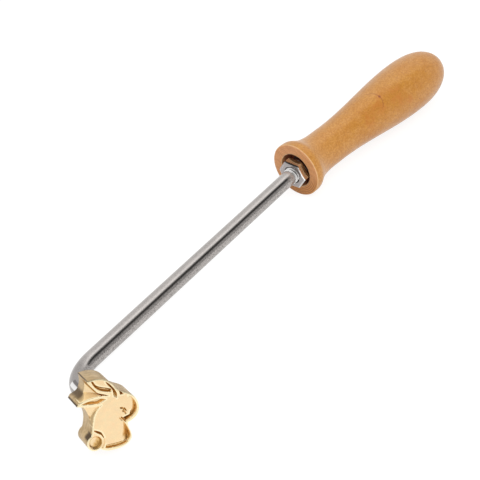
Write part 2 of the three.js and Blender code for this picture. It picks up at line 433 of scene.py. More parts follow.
class Shader:
    """Adds nodes to a tree and joins them."""

    def __init__(self, tree: bpy.types.NodeTree) -> None:
        """Takes the tree that the nodes go in."""
        self.tree = tree

    def feed(self, node: bpy.types.Node, inputs: dict) -> bpy.types.Node:
        """Joins sockets to a node's inputs, or sets their values.

        Args:
            node: The node.
            inputs: Values or sockets, by the input's name or number.

        Returns:
            The same node.
        """
        for key, value in inputs.items():
            if isinstance(value, bpy.types.NodeSocket):
                self.tree.links.new(value, node.inputs[key])
            else:
                node.inputs[key].default_value = value
        return node

    def add(self, kind: str, inputs: dict | None = None, **settings: object) -> bpy.types.Node:
        """Adds a node.

        Args:
            kind: The node's type.
            inputs: Values or sockets for its inputs.
            settings: Its other properties.

        Returns:
            The node.
        """
        node = self.tree.nodes.new(kind)
        for key, value in settings.items():
            setattr(node, key, value)
        return self.feed(node, inputs or {})

    def math(self, operation: str, a: object, b: object = 0.0, clamp: bool = False) -> object:
        """Works with two values.

        Args:
            operation: What is done with them.
            a: The first value or socket.
            b: The second value or socket.
            clamp: Whether the result is kept between 0 and 1.

        Returns:
            The output socket.
        """
        node = self.add("ShaderNodeMath", {0: a, 1: b}, operation=operation, use_clamp=clamp)
        return node.outputs[0]

    def _chain(self, operation: str, parts: Sequence[object], clamp: bool = False) -> object:
        """Works with many values in turn.

        Args:
            operation: What is done with them.
            parts: The values or sockets.
            clamp: Whether the last result is kept between 0 and 1.

        Returns:
            The output socket.
        """
        total = parts[0]
        for count, part in enumerate(parts[1:], 2):
            total = self.math(operation, total, part, clamp and count == len(parts))
        return total

    def times(self, *parts: object, clamp: bool = False) -> object:
        """Multiplies values or sockets."""
        return self._chain("MULTIPLY", parts, clamp)

    def plus(self, *parts: object, clamp: bool = False) -> object:
        """Adds values or sockets."""
        return self._chain("ADD", parts, clamp)

    def minus(self, a: object, b: object, clamp: bool = False) -> object:
        """Takes the second value or socket from the first."""
        return self.math("SUBTRACT", a, b, clamp)

    def most(self, *parts: object) -> object:
        """Gives the greatest of values or sockets."""
        return self._chain("MAXIMUM", parts)

    def size(self, value: object) -> object:
        """Gives a value without its sign."""
        return self.math("ABSOLUTE", value)

    def angle(self, side: object, ahead: object) -> object:
        """Gives the angle of two parts of a vector, in degrees from the second one."""
        return self.math("DEGREES", self.math("ARCTAN2", side, ahead))

    def length(self, *parts: object) -> object:
        """Gives the length of a vector from its parts."""
        return self.math("SQRT", self.plus(*(self.times(part, part) for part in parts)))

    def split(self, place: object) -> list[object]:
        """Gives the three parts of a vector."""
        return list(self.add("ShaderNodeSeparateXYZ", {0: place}).outputs)

    def vector(self, *parts: object) -> object:
        """Makes a vector from its first parts."""
        return self.add("ShaderNodeCombineXYZ", dict(enumerate(parts))).outputs[0]

    def blend(self, factor: object, a: object, b: object) -> object:
        """Mixes two colours.

        Args:
            factor: How much of the second, as a value or socket.
            a: The first colour or socket.
            b: The second colour or socket.

        Returns:
            The output socket.
        """
        a, b = (c if isinstance(c, bpy.types.NodeSocket) else (*c, 1.0) for c in (a, b))
        return self.add("ShaderNodeMix", {0: factor, 6: a, 7: b}, data_type="RGBA").outputs[2]

    def painted(self, colour: object, *coats: tuple[object, object]) -> object:
        """Lays coats over a colour.

        Args:
            colour: The colour or socket under them.
            coats: The mask and the colour of each coat, in order.

        Returns:
            The output socket.
        """
        for mask, tone in coats:
            colour = self.blend(mask, colour, tone)
        return colour

    def span(self, value: object, low: float, high: float, first: float, last: float) -> object:
        """Maps a value from one span to another, softly and without passing its ends.

        Args:
            value: The value's socket.
            low: Value that gives first.
            high: Value that gives last.
            first: Result at low.
            last: Result at high.

        Returns:
            The output socket.
        """
        node = self.add(
            "ShaderNodeMapRange", {0: value, 1: low, 2: high, 3: first, 4: last},
            interpolation_type="SMOOTHSTEP")
        return node.outputs[0]

    def noise(self, place: object, scale: object, detail: float = 3, rough: float = 0.5) -> object:
        """Adds soft noise.

        Args:
            place: The coordinates' socket.
            scale: Waves in one unit.
            detail: Finer layers.
            rough: Their strength.

        Returns:
            The output socket, about 0.5 on average.
        """
        return self.add("ShaderNodeTexNoise", {
            "Vector": place, "Scale": scale, "Detail": detail, "Roughness": rough}).outputs["Fac"]

    def stretched(self, place: object, scale: Triple) -> object:
        """Scales coordinates by axis."""
        return self.add("ShaderNodeMapping", {"Vector": place, "Scale": scale}).outputs[0]

    def bumped(self, height: object, strength: float, depth: float) -> object:
        """Turns a height into a normal.

        Args:
            height: The height's socket.
            strength: Share of the bump that shows.
            depth: Real depth in metres.

        Returns:
            The normal's socket.
        """
        return self.add(
            "ShaderNodeBump", {"Height": height, "Strength": strength, "Distance": depth}).outputs[0]

    def to_the_eye(self) -> object:
        """Masks the rays that come from the camera, straight or by a mirror or glass.

        Returns:
            The mask's socket.
        """
        rays = self.add("ShaderNodeLightPath").outputs
        return self.plus(*(rays[f"Is {kind} Ray"] for kind in (
            "Camera", "Glossy", "Transmission")), clamp=True)


class Group:
    """A shader node group with named inputs and outputs, built once and shared."""

    def __init__(self, name: str, inputs: dict[str, object], outputs: Iterable[str]) -> None:
        """Makes the group's sockets.

        Args:
            name: The group's name.
            inputs: The usual value of each input, or None for coordinates.
            outputs: The names of its value outputs.
        """
        self.tree = bpy.data.node_groups.new(name, "ShaderNodeTree")
        for label, value in inputs.items():
            kind = "NodeSocketVector" if value is None else "NodeSocketFloat"
            socket = self.tree.interface.new_socket(label, in_out="INPUT", socket_type=kind)
            if value is not None:
                socket.default_value = value
        for label in outputs:
            self.tree.interface.new_socket(label, in_out="OUTPUT", socket_type="NodeSocketFloat")
        self.shader = Shader(self.tree)
        self.inputs = self.shader.add("NodeGroupInput").outputs
        self.outputs = self.shader.add("NodeGroupOutput").inputs

    def give(self, label: str, socket: object) -> None:
        """Joins a socket to one of the outputs."""
        self.tree.links.new(socket, self.outputs[label])

    def use(self, shader: Shader, **values: object) -> bpy.types.NodeOutputs:
        """Places the group in a material.

        Args:
            shader: The material's shader.
            values: Values or sockets for its inputs.

        Returns:
            The group's outputs.
        """
        return shader.feed(shader.add("ShaderNodeGroup", node_tree=self.tree), values).outputs


@dataclass
class Effects:
    """The effects that more than one finish uses."""

    hairlines: Group = field(init=False)
    clouds: Group = field(init=False)
    wear: Group = field(init=False)

    def __post_init__(self) -> None:
        """Builds each group once."""
        self.hairlines = self._hairlines()
        self.clouds = self._clouds()
        self.wear = self._wear()

    @staticmethod
    def _hairlines() -> Group:
        """Makes fine scratches that run one way: a height and a mask of the deeper ones.

        Returns:
            The group.
        """
        group = Group(
            "hairlines", {"place": None, "length": 6.0, "fineness": 6.0, "deep": 0.62},
            ("height", "deep lines"))
        s = group.shader
        along, *sides = s.split(group.inputs["place"])
        place = s.vector(
            s.math("DIVIDE", along, group.inputs["length"]),
            *(s.times(side, group.inputs["fineness"]) for side in sides))
        fine = s.noise(place, 1.0, 4, 0.7)
        broad = s.noise(place, 0.3, 2, 0.5)
        group.give("height", s.plus(s.times(fine, 0.7), s.times(broad, 0.3)))
        group.give("deep lines", s.times(s.minus(fine, group.inputs["deep"]), 9.0, clamp=True))
        return group

    @staticmethod
    def _clouds() -> Group:
        """Makes soft uneven patches, from 0 to 1.

        Returns:
            The group.
        """
        group = Group("clouds", {"place": None, "size": 6.0, "contrast": 1.0}, ("mask",))
        s = group.shader
        scale = s.math("DIVIDE", 1.0, group.inputs["size"])
        noise = s.minus(s.noise(group.inputs["place"], scale, 3, 0.55), 0.5)
        strong = s.times(noise, s.times(group.inputs["contrast"], 3.0))
        group.give("mask", s.plus(strong, 0.5, clamp=True))
        return group

    @staticmethod
    def _wear() -> Group:
        """Makes rubbed ridges, broken up by noise.

        Returns:
            The group.
        """
        group = Group("wear", {"place": None, "ridge": 0.52}, ("ridges",))
        s = group.shader
        point = s.add("ShaderNodeNewGeometry").outputs["Pointiness"]
        broken = s.times(s.minus(s.noise(group.inputs["place"], 0.8), 0.5), 0.02)
        ridges = s.minus(s.plus(point, broken), group.inputs["ridge"])
        group.give("ridges", s.times(ridges, 14.0, clamp=True))
        return group


def local_place(shader: Shader, frame: Matrix) -> object:
    """Gives the coordinates of a part's own frame, in millimetres.

    Args:
        shader: The material's shader.
        frame: The part's own frame, in metres.

    Returns:
        The output socket.
    """
    inverse = frame.inverted()
    return shader.add("ShaderNodeMapping", {
        "Vector": shader.add("ShaderNodeTexCoord").outputs["Object"],
        "Location": inverse.translation / MM, "Rotation": inverse.to_euler("XYZ"),
        "Scale": (1 / MM,) * 3}).outputs[0]


def new_material(name: str) -> tuple[bpy.types.Material, Shader, bpy.types.Node]:
    """Makes a material with one Principled shader.

    Args:
        name: The material's name.

    Returns:
        The material, its shader and the Principled node.
    """
    material = bpy.data.materials.new(name)
    material.use_nodes = True
    material.node_tree.nodes.clear()
    shader = Shader(material.node_tree)
    principled = shader.add("ShaderNodeBsdfPrincipled")
    shader.add("ShaderNodeOutputMaterial", {"Surface": principled.outputs[0]})
    return material, shader, principled


# Finishes


@dataclass(frozen=True)
class WoodFinish:
    """Satin lacquer on turned beech: lengths in millimetres in the handle's frame.

    Each layer of clouds has its stretch along the grain, its size and its contrast. A pair named
    for a place says where a tone starts and where it ends.
    """

    ochre: Colour = (0.585, 0.265, 0.037)
    amber: Colour = (0.53, 0.213, 0.023)
    pale: Colour = (0.63, 0.31, 0.082)
    deep: Colour = (0.44, 0.155, 0.013)
    end_grain: Colour = (0.8, 0.37, 0.16)
    rust: Colour = (0.26, 0.06, 0.018)
    bare_edge_highlight: Colour = (0.86, 0.6, 0.33)
    bore: Colour = (0.43, 0.13, 0.068)
    cloud_layers: tuple[Triple, ...] = ((0.7, 7.0, 1.3), (0.8, 2.4, 1.5), (0.9, 0.9, 1.7))
    pith: Pair = (21.0, -17.0)
    ring_width: float = 2.9
    ring_warp: float = 12.0
    fleck_length: float = 0.9
    up_side: Pair = (0.5, 0.86)
    # painted highlight: where the paler upper side of the handle starts and ends
    painted_sheen_top: Pair = (4.0, 12.0)
    pale_neck: Pair = (12.0, 50.0)
    front_edge: Pair = (0.05, 0.3)
    low_front_shade: Pair = (-12.0, 0.0)
    edge_depth: Pair = (0.2, 0.5)
    shade_depth: Pair = (0.4, 5.0)
    groove: float = 0.9
    knot: Triple = (58.8, -8.7, 8.3)
    knot_line: Triple = (53.75, -6.73, 6.44)
    line_radius: float = 5.73
    line_width: float = 0.17
    burnt: Colour = (0.52, 0.165, 0.014)
    burnt_zones: tuple[tuple[Triple, float], ...] = (
        ((54.5, -10.4, 5.2), 6.5), ((46.0, -10.2, 3.0), 6.0), ((73.6, -13.4, -0.7), 3.5),
        ((67.0, -12.0, 4.5), 8.0))
    lacquer: float = 0.33
    front_lacquer: float = 0.05
    pore_depth: float = 0.00005

    def material(
        self, frame: Matrix, effects: Effects, turning: "TurnedHandle",
    ) -> bpy.types.Material:
        """Builds the material.

        Args:
            frame: The handle's frame.
            effects: The shared effects.
            turning: The handle, for the sizes of its front.

        Returns:
            The material.
        """
        material, s, principled = new_material("lacquered_beech")
        place = local_place(s, frame)
        split = s.split(place)
        waves = s.noise(s.stretched(place, (0.03, 0.1, 0.1)), 1.0, 2)
        radius = s.length(*(s.minus(part, pith) for part, pith in zip(split[1:], self.pith)))
        warped = s.plus(radius, s.times(s.minus(waves, 0.5), self.ring_warp))
        rings = s.math("SINE", s.times(warped, math.tau / self.ring_width))
        rings = s.span(rings, -0.8, 1.0, 0.0, 1.0)
        patches, mottle, dots = (
            effects.clouds.use(
                s, place=s.stretched(place, (stretch, 1, 1)), size=size, contrast=contrast)["mask"]
            for stretch, size, contrast in self.cloud_layers)
        fibre = s.noise(s.stretched(place, (0.3, 2.2, 2.2)), 1.0, 4, 0.6)
        flecks = s.noise(s.stretched(place, (1 / self.fleck_length, 2.6, 2.6)), 1.0, 1, 0.4)
        flecks = s.span(flecks, 0.6, 0.7, 0.0, 1.0)
        # painted highlight: the upper side of the handle is painted paler, as a sheen
        upper = s.plus(*(s.times(part, share) for part, share in zip(split[1:], self.up_side)))
        neck = s.span(split[0], *self.pale_neck, 0.5, 0.0)
        colour = s.painted(
            s.blend(s.times(patches, 0.9), self.ochre, self.amber),
            (s.times(mottle, 0.55), self.pale), (s.span(fibre, 0.4, 0.7, 0.0, 0.2), self.pale),
            (s.most(neck, s.span(upper, *self.painted_sheen_top, 0.0, 0.5)), self.pale),
            (s.times(rings, 0.1), self.amber), (s.times(dots, 0.5), self.deep),
            (s.times(flecks, 0.34), self.rust))
        broken = s.span(mottle, 0.2, 0.8, 0.1, 1.0)
        for centre, reach in self.burnt_zones:
            near = s.span(self._gap(s, split, centre), reach * 0.2, reach, 0.6, 0.0)
            colour = s.blend(s.times(near, broken), colour, self.burnt)
        colour = self._knot(s, split, colour)
        front = s.span(split[0], *self.front_edge, 1.0, 0.0)
        colour = self._front(s, place, split, colour, rings, front, turning)
        lacquer = s.minus(self.lacquer, s.times(front, self.lacquer - self.front_lacquer))
        height = s.plus(fibre, s.times(flecks, -0.6))
        s.feed(principled, {
            "Base Color": colour, "Roughness": s.span(patches, 0.0, 1.0, 0.34, 0.42),
            "Specular IOR Level": 0.3, "Coat Weight": lacquer, "Coat Roughness": 0.26,
            "Normal": s.bumped(height, 0.35, self.pore_depth)})
        return material

    @staticmethod
    def _gap(s: Shader, split: Sequence[object], centre: Triple) -> object:
        """Gives the distance to a point as a socket."""
        return s.length(*(s.minus(part, middle) for part, middle in zip(split, centre)))

    def _knot(self, s: Shader, split: Sequence[object], colour: object) -> object:
        """Adds the pin knot and the curved line that passes it.

        Args:
            s: The material's shader.
            split: The place, axis by axis.
            colour: The colour so far.

        Returns:
            The colour with the knot.
        """
        reach = self._gap(s, split, self.knot)
        off_line = s.size(s.minus(self._gap(s, split, self.knot_line), self.line_radius))
        line = s.span(off_line, self.line_width * 0.4, self.line_width * 1.6, 0.6, 0.0)
        return s.painted(
            colour, (s.span(reach, 0.5, 3.0, 0.35, 0.0), self.burnt),
            (s.times(line, s.span(split[0], 55.0, 57.0, 0.0, 1.0)), self.rust),
            (s.span(reach, 0.3, 0.95, 0.95, 0.0), self.rust))

    def _front(
        self, s: Shader, place: object, split: Sequence[object], colour: object, rings: object,
        front: object, turning: "TurnedHandle",
    ) -> object:
        """Dresses the front face with end grain, its edges bare and painted with a highlight, and its
        bore darkened with painted shade.

        Args:
            s: The material's shader.
            place: The place on the handle.
            split: The same place, axis by axis.
            colour: The colour so far.
            rings: The year rings.
            front: Where the front face is.
            turning: The handle's sizes.

        Returns:
            The colour with the front.
        """
        along, across, up = split
        off_axis = s.length(across, up)
        pores = s.noise(s.stretched(place, (0.2, 2.0, 2.0)), 1.0, 3, 0.6)
        tool_marks = s.noise(s.vector(s.times(off_axis, 1.5)), 1.0, 3, 0.65)
        # painted shade: the front face is darker towards the bottom, and its grooves show more there
        low = s.span(up, *self.low_front_shade, 1.0, 0.0)
        turns = s.plus(s.times(off_axis, math.tau / self.groove), s.times(tool_marks, 5.0))
        grooves = s.span(s.math("SINE", turns), 0.0, 0.9, 0.0, 0.6)
        grain = s.painted(
            self.end_grain, (s.span(pores, 0.4, 0.68, 0.0, 0.6), self.ochre),
            (s.times(low, 0.75), self.amber),
            (s.times(grooves, s.span(low, 0.0, 0.9, 0.25, 1.0)), self.rust),
            (s.times(rings, 0.15), self.rust))
        colour = s.blend(front, colour, grain)
        uneven = s.span(s.noise(place, 0.6, 3), 0.3, 0.55, 0.45, 1.0)
        # the rims of the front face are partly bare wood and partly a painted highlight
        mouth_edge = turning.mouth + turning.mouth_round / 2
        for radius, width, share in ((turning.flange - 0.12, 0.26, 0.65), (mouth_edge, 0.3, 0.8)):
            close = s.span(s.size(s.minus(off_axis, radius)), 0.06, width, share, 0.0)
            edge = s.times(close, s.span(along, *self.edge_depth, 1.0, 0.0), uneven)
            colour = s.blend(edge, colour, self.bare_edge_highlight)
        # painted shade: inside the bore the wood turns darker with depth
        within = s.times(
            s.span(off_axis, turning.mouth + 0.02, turning.mouth + 0.12, 1.0, 0.0),
            s.span(along, 0.3, 0.7, 0.0, 1.0), s.span(along, turning.seat_depth + 2, 40.0, 1.0, 0.0))
        shaded = s.blend(s.span(along, *self.shade_depth, 0.0, 1.0), self.end_grain, self.bore)
        return s.blend(within, colour, shaded)


@dataclass(frozen=True)
class MetalFinish:
    """A metal with hairlines, clouds and worn ridges: lengths in millimetres."""

    name: str = "machined_steel"
    base: Colour = (0.45, 0.44, 0.43)
    shade: Colour = (0.35, 0.34, 0.33)
    roughness: float = 0.35
    spread: float = 0.1
    line_length: float = 5.0
    fineness: float = 7.0
    depth: float = 0.000012
    cloud_size: float = 7.0

    def material(self, frame: Matrix, effects: Effects) -> bpy.types.Material:
        """Builds the material.

        Args:
            frame: The part's frame.
            effects: The shared effects.

        Returns:
            The material.
        """
        material, s, principled = new_material(self.name)
        self.finish(s, principled, *self.layers(s, local_place(s, frame), effects))
        return material

    def layers(self, s: Shader, place: object, effects: Effects) -> tuple[object, object, object]:
        """Makes the metal's colour, roughness and height.

        Args:
            s: The material's shader.
            place: The coordinates' socket.
            effects: The shared effects.

        Returns:
            The three output sockets.
        """
        lines = effects.hairlines.use(
            s, place=place, length=self.line_length, fineness=self.fineness)
        clouds = effects.clouds.use(s, place=place, size=self.cloud_size)["mask"]
        ridges = effects.wear.use(s, place=place)["ridges"]
        colour = s.painted(
            self.base, (s.times(clouds, 0.6), self.shade),
            (s.times(lines["deep lines"], 0.35), self.shade))
        rough = s.plus(self.roughness, s.times(s.minus(lines["height"], 0.5), self.spread))
        return colour, s.minus(rough, s.times(ridges, 0.05), clamp=True), lines["height"]

    def finish(
        self, s: Shader, principled: bpy.types.Node, colour: object, rough: object,
        height: object, others: dict | None = None,
    ) -> None:
        """Joins a metal's layers to its shader.

        Args:
            s: The material's shader.
            principled: The shader's node.
            colour: The colour's socket.
            rough: The roughness's socket.
            height: The height's socket.
            others: Other inputs of the shader, such as a Metallic that isn't full.
        """
        s.feed(principled, {
            "Base Color": colour, "Roughness": rough, "Metallic": 1.0,
            "Normal": s.bumped(height, 0.5, self.depth), **(others or {})})


@dataclass(frozen=True)
class RodFinish(MetalFinish):
    """Drawn steel with its mill scale, machined bright at both ends.

    Each strip on the machined end, a painted highlight and a painted dark reflection, has its
    angle, and half its width where it is full and where it ends, in degrees. The mill scale thins
    out between the two angles of its side. Past the bend the leg is painted darker as shade.
    """

    name: str = "drawn_steel"
    base: Colour = (0.47, 0.44, 0.42)
    shade: Colour = (0.4, 0.375, 0.36)
    roughness: float = 0.16
    scale: Colour = (0.16, 0.145, 0.14)
    bright: Colour = (0.78, 0.77, 0.76)
    speck: float = 0.5
    turned_length: float = 21.5
    glint_strip: Triple = (31.0, 11.0, 17.0)
    dark_reflection_strip: Triple = (5.0, 7.0, 12.0)
    scale_side: Pair = (-80.0, -50.0)
    bend_shade: float = 12.0
    matt_length: float = 5.0
    matt: float = 0.6

    def wrapped(
        self, effects: Effects, screw_start: float, bend_start: float, die_back: float,
    ) -> bpy.types.Material:
        """Builds the material on the rod's straightened places.

        Args:
            effects: The shared effects.
            screw_start: Where the thread starts beside the nut.
            bend_start: Where the bend starts, past which the leg is painted darker as shade.
            die_back: Where the die's back is, along the straightened rod.

        Returns:
            The material.
        """
        material, s, principled = new_material(self.name)
        place = s.add("ShaderNodeAttribute", attribute_name=TEXTURE_PLACE).outputs["Vector"]
        colour, rough, height = self.layers(s, place, effects)
        along, across, up = s.split(place)
        angle = s.angle(across, up)
        specks = s.noise(s.stretched(place, (0.8, 1, 1)), 1 / self.speck, 2, 0.7)
        dark = s.times(
            s.span(specks, 0.46, 0.62, 0.0, 0.72), s.span(angle, *self.scale_side, 1.0, 0.4))
        uneven = s.plus(along, s.times(s.minus(s.noise(place, 0.5, 2), 0.5), 0.8))
        screw = s.span(uneven, screw_start - 0.1, screw_start + 0.3, 0.0, 1.0)
        turned_from = die_back + self.turned_length
        stud = s.span(uneven, turned_from - 0.5, turned_from + 0.1, 1.0, 0.0)
        # painted highlight and painted dark reflection: two strips on the leg's turned end
        rubbed, dull = (
            s.times(stud, s.span(s.size(s.minus(angle, middle)), inner, outer, 1.0, 0.0))
            for middle, inner, outer in (self.glint_strip, self.dark_reflection_strip))
        # painted shade: the leg is darker past the bend
        colour = s.painted(
            colour, (dark, self.scale),
            (s.span(along, bend_start - self.bend_shade, bend_start, 0.42, 0.0), self.scale),
            (s.most(screw, rubbed), self.bright), (dull, self.scale))
        rough = s.plus(
            s.plus(s.times(dark, 0.12), rough), s.minus(s.times(screw, 0.25), s.times(stud, 0.14)),
            clamp=True)
        matt = s.span(uneven, screw_start - self.matt_length, screw_start - 1.0, 0.0, self.matt)
        self.finish(
            s, principled, colour, rough, s.plus(height, s.times(dark, -1.5)),
            {"Metallic": s.minus(1.0, s.times(matt, s.minus(1.0, screw)))})
        return material


@dataclass(frozen=True)
class NutFinish(MetalFinish):
    """Bright zinc, with the rings of the facing tool on its faces.

    Each rim, a painted highlight or a painted dark reflection along a flat, has the number of its
    flat, its tone and share, and how far it reaches from the front face.
    """

    name: str = "bright_zinc"
    base: Colour = (0.53, 0.48, 0.485)
    shade: Colour = (0.34, 0.305, 0.31)
    roughness: float = 0.14
    line_length: float = 2.0
    recess_shade: Colour = (0.12, 0.11, 0.11)
    grey_and_shade: Colour = (0.3, 0.28, 0.27)
    bright: Colour = (0.99, 0.98, 0.96)
    dark_reflection: Colour = (0.03, 0.03, 0.03)
    rim_width: float = 0.75
    rims: tuple[tuple[int, Colour, float, float], ...] = (
        (2, bright, 0.55, 8.0), (2, bright, 0.95, 0.6), (1, bright, 0.3, 8.0),
        (1, dark_reflection, 1.0, 0.8), (3, bright, 0.4, 0.6))

    def faced(self, frame: Matrix, effects: Effects, nut: "ThinNut") -> bpy.types.Material:
        """Builds the material, with painted highlights and a painted dark reflection on some flats
        near their front edge.

        Args:
            frame: The rod's frame.
            effects: The shared effects.
            nut: The nut, for its sizes.

        Returns:
            The material.
        """
        material, s, principled = new_material(self.name)
        place = local_place(s, frame)
        colour, rough, height = self.layers(s, place, effects)
        along, across, up = s.split(place)
        off_axis = s.length(across, up)
        rings = s.noise(s.vector(s.times(off_axis, 5.0), s.times(across, 0.2)), 1.0, 2, 0.6)
        # the facing rings are grey; painted shade also darkens the face towards the leg's side
        colour = s.painted(
            colour, (s.span(rings, 0.42, 0.54, 0.0, 0.85), self.grey_and_shade),
            (s.span(across, -1.0, 4.0, 0.5, 0.0), self.grey_and_shade))
        half = nut.across_flats / 2
        # painted highlights and a painted dark reflection along the flats' front edges
        for flat, tone, share, reach in self.rims:
            way = math.radians(nut.turn + 30 + 60 * flat)
            outward = s.plus(s.times(across, math.cos(way)), s.times(up, math.sin(way)))
            rim = s.span(outward, half - self.rim_width, half - self.rim_width * 0.6, 0.0, share)
            near_front = s.span(along, nut.front + reach * 0.5, nut.front + reach, 1.0, 0.0)
            colour = s.blend(s.times(rim, near_front), colour, tone)
        # painted shade: the face darkens in the countersink round the hole
        sink = nut.countersink
        hole = s.span(off_axis, nut.bore + sink * 0.2, nut.bore + sink * 1.5, 0.85, 0.0)
        self.finish(s, principled, s.blend(hole, colour, self.recess_shade), rough, s.plus(height, rings))
        return material


@dataclass(frozen=True)
class BrassFinish(MetalFinish):
    """Polished brass: amber in its cuts, with satin milled walls that are also painted darker
    as shade.

    Each layer of patches has its size, its colour and its share. Each dark corner has its place in
    X and Y, its reach, and the height from which it is darkened. A pair named for a tone says
    between which patinas it comes in, a facing how far a face looks along the leg, and the last
    pairs where the notch between the ears is painted with shade.
    """

    name: str = "polished_brass"
    base: Colour = (0.955, 0.725, 0.425)
    shade: Colour = (0.905, 0.665, 0.37)
    roughness: float = 0.24
    line_length: float = 3.0
    fineness: float = 5.0
    amber: Colour = (0.74, 0.46, 0.17)
    brown: Colour = (0.4, 0.21, 0.055)
    # the milled wall's colours are satin brass, painted darker as shade
    wall: Colour = (0.58, 0.42, 0.215)
    wall_shade: Colour = (0.4, 0.27, 0.12)
    corner_shade: Colour = (0.075, 0.042, 0.016)
    matt: Colour = (0.9, 0.66, 0.34)
    painted_gleam: Colour = (1.0, 0.87, 0.57)
    patches: tuple[tuple[float, Colour, float], ...] = (
        (3.2, (0.93, 0.64, 0.38), 0.5), (1.7, (0.85, 0.7, 0.44), 0.45))
    shaded_corners: tuple[tuple[float, float, float, float], ...] = (
        (-8.45, 13.95, 0.5, -1.0), (-11.56, 4.98, 0.9, -1.0), (-6.0, -7.1, 1.9, 5.5))
    cut_band: float = 2.8
    relief_edge: Pair = (0.9, 0.4)
    painted_gleam_from: Pair = (-0.8, -0.1)
    matt_from: Pair = (-2.0, -1.1)
    amber_from: Pair = (0.0, 0.55)
    brown_from: Pair = (0.45, 1.15)
    wall_facing: Pair = (0.05, 0.3)
    bevel_facing: Pair = (0.4, 0.92)
    notch_x: Pair = (-8.2, -7.6)
    notch_low_y: Pair = (6.0, 7.0)
    notch_high_y: Pair = (8.0, 9.8)
    notch_z: Pair = (5.5, 8.5)

    def carved(self, bench: Bench, effects: Effects, thickness: float) -> bpy.types.Material:
        """Builds the material on the die's places and its patina.

        Args:
            bench: Where the parts lie.
            effects: The shared effects.
            thickness: The die's thickness.

        Returns:
            The material.
        """
        material, s, principled = new_material(self.name)
        place = local_place(s, bench.die)
        colour, rough, height = self.layers(s, place, effects)
        split = s.split(place)
        patina = s.add("ShaderNodeAttribute", attribute_name=PATINA_AND_PAINTED_LIGHT).outputs["Fac"]
        normal = s.add("ShaderNodeTexCoord").outputs["Normal"]
        leg = bench.die.to_3x3() @ Vector((0, 0, 1))
        facing = s.add(
            "ShaderNodeVectorMath", {0: normal, 1: leg}, operation="DOT_PRODUCT").outputs["Value"]
        side = s.span(facing, *self.wall_facing, 1.0, 0.0)
        layers = s.noise(s.stretched(place, (0.5, 0.5, 0.9)), 1.0, 3, 0.65)
        scattered = s.span(patina, *self.matt_from, 1.0, 0.0)
        # painted shade in the side wall's corners, and dark lines at the ear tips
        stain = self._corner_shade_mask(s, split)
        for size, tone, share in self.patches:
            clouds = effects.clouds.use(s, place=place, size=size, contrast=1.2)["mask"]
            colour = s.blend(s.times(clouds, share), colour, tone)
        grain = s.times(s.minus(s.noise(place, 1.2, 3, 0.7), 0.5), 1.7)
        rubbed = s.plus(patina, s.times(grain, s.span(patina, 0.05, 0.5, 0.0, 1.0)))
        # the side walls are milled satin, painted darker as shade
        milled = self._milled(s, split, layers, patina, thickness)
        # painted highlight along the raised edges, from the negative patina
        colour = s.painted(
            colour, (s.span(patina, *self.painted_gleam_from, 1.0, 0.0), self.painted_gleam),
            (scattered, self.matt), (s.span(rubbed, *self.amber_from, 0.0, 1.0), self.amber),
            (s.span(rubbed, *self.brown_from, 0.0, 1.0), self.brown),
            (side, s.blend(stain, milled, self.corner_shade)))
        rough = s.plus(rough, s.times(side, 0.2), s.times(s.most(patina, 0.0), 0.16))
        low, high = (thickness - depth for depth in self.relief_edge)
        below_edge = s.span(split[2], low, high, 1.0, 0.0)
        cut = s.most(s.times(side, below_edge), patina)
        worn = s.times(
            s.span(facing, *self.bevel_facing, 0.85, 0.0), s.span(patina, -0.3, 0.0, 1.0, 0.0),
            s.minus(1.0, side))
        dull = s.most(s.times(stain, side), s.times(scattered, 0.75), worn)
        self.finish(
            s, principled, colour, rough, s.plus(height, s.times(cut, layers, 2.0)),
            {"Metallic": s.minus(1.0, dull), "Specular IOR Level": 0.1})
        return material

    def _milled(
        self, s: Shader, split: Sequence[object], layers: object, patina: object,
        thickness: float,
    ) -> object:
        """Colours the milled wall, with a darker band where the face's cutter passed.

        Args:
            s: The material's shader.
            split: The place on the die, axis by axis.
            layers: The mill's marks.
            patina: How dark the face above has turned.
            thickness: The die's thickness.

        Returns:
            The colour's socket.
        """
        band_low = thickness - self.cut_band
        return s.painted(
            self.wall, (s.span(layers, 0.38, 0.68, 0.0, 0.8), self.wall_shade),
            (s.span(split[2], band_low, band_low + 0.25, 0.0, 0.4), self.wall_shade),
            (s.span(patina, 0.1, 0.9, 0.0, 0.9), self.brown))

    def _corner_shade_mask(self, s: Shader, split: Sequence[object]) -> object:
        """Masks the corners of the side wall that are painted dark.

        They are painted shade in the corner where the back meets the tail and at the foot of the
        notch between the ears, and dark lines along the edges at both ear tips.

        Args:
            s: The material's shader.
            split: The place on the die, axis by axis.

        Returns:
            The mask's socket.
        """
        x, y, z = split
        masks = [s.times(
            s.span(y, *self.notch_high_y, 0.85, 0.0), s.span(x, *self.notch_x, 1.0, 0.0),
            s.span(y, *self.notch_low_y, 0.0, 1.0), s.span(z, *self.notch_z, 1.0, 0.0))]
        for corner_x, corner_y, reach, low in self.shaded_corners:
            gap = s.length(s.minus(x, corner_x), s.minus(y, corner_y))
            masks.append(s.times(
                s.span(gap, reach * 0.5, reach, 0.95, 0.0), s.span(z, low, low + 2, 0.0, 1.0)))
        return s.most(*masks)


# Parts


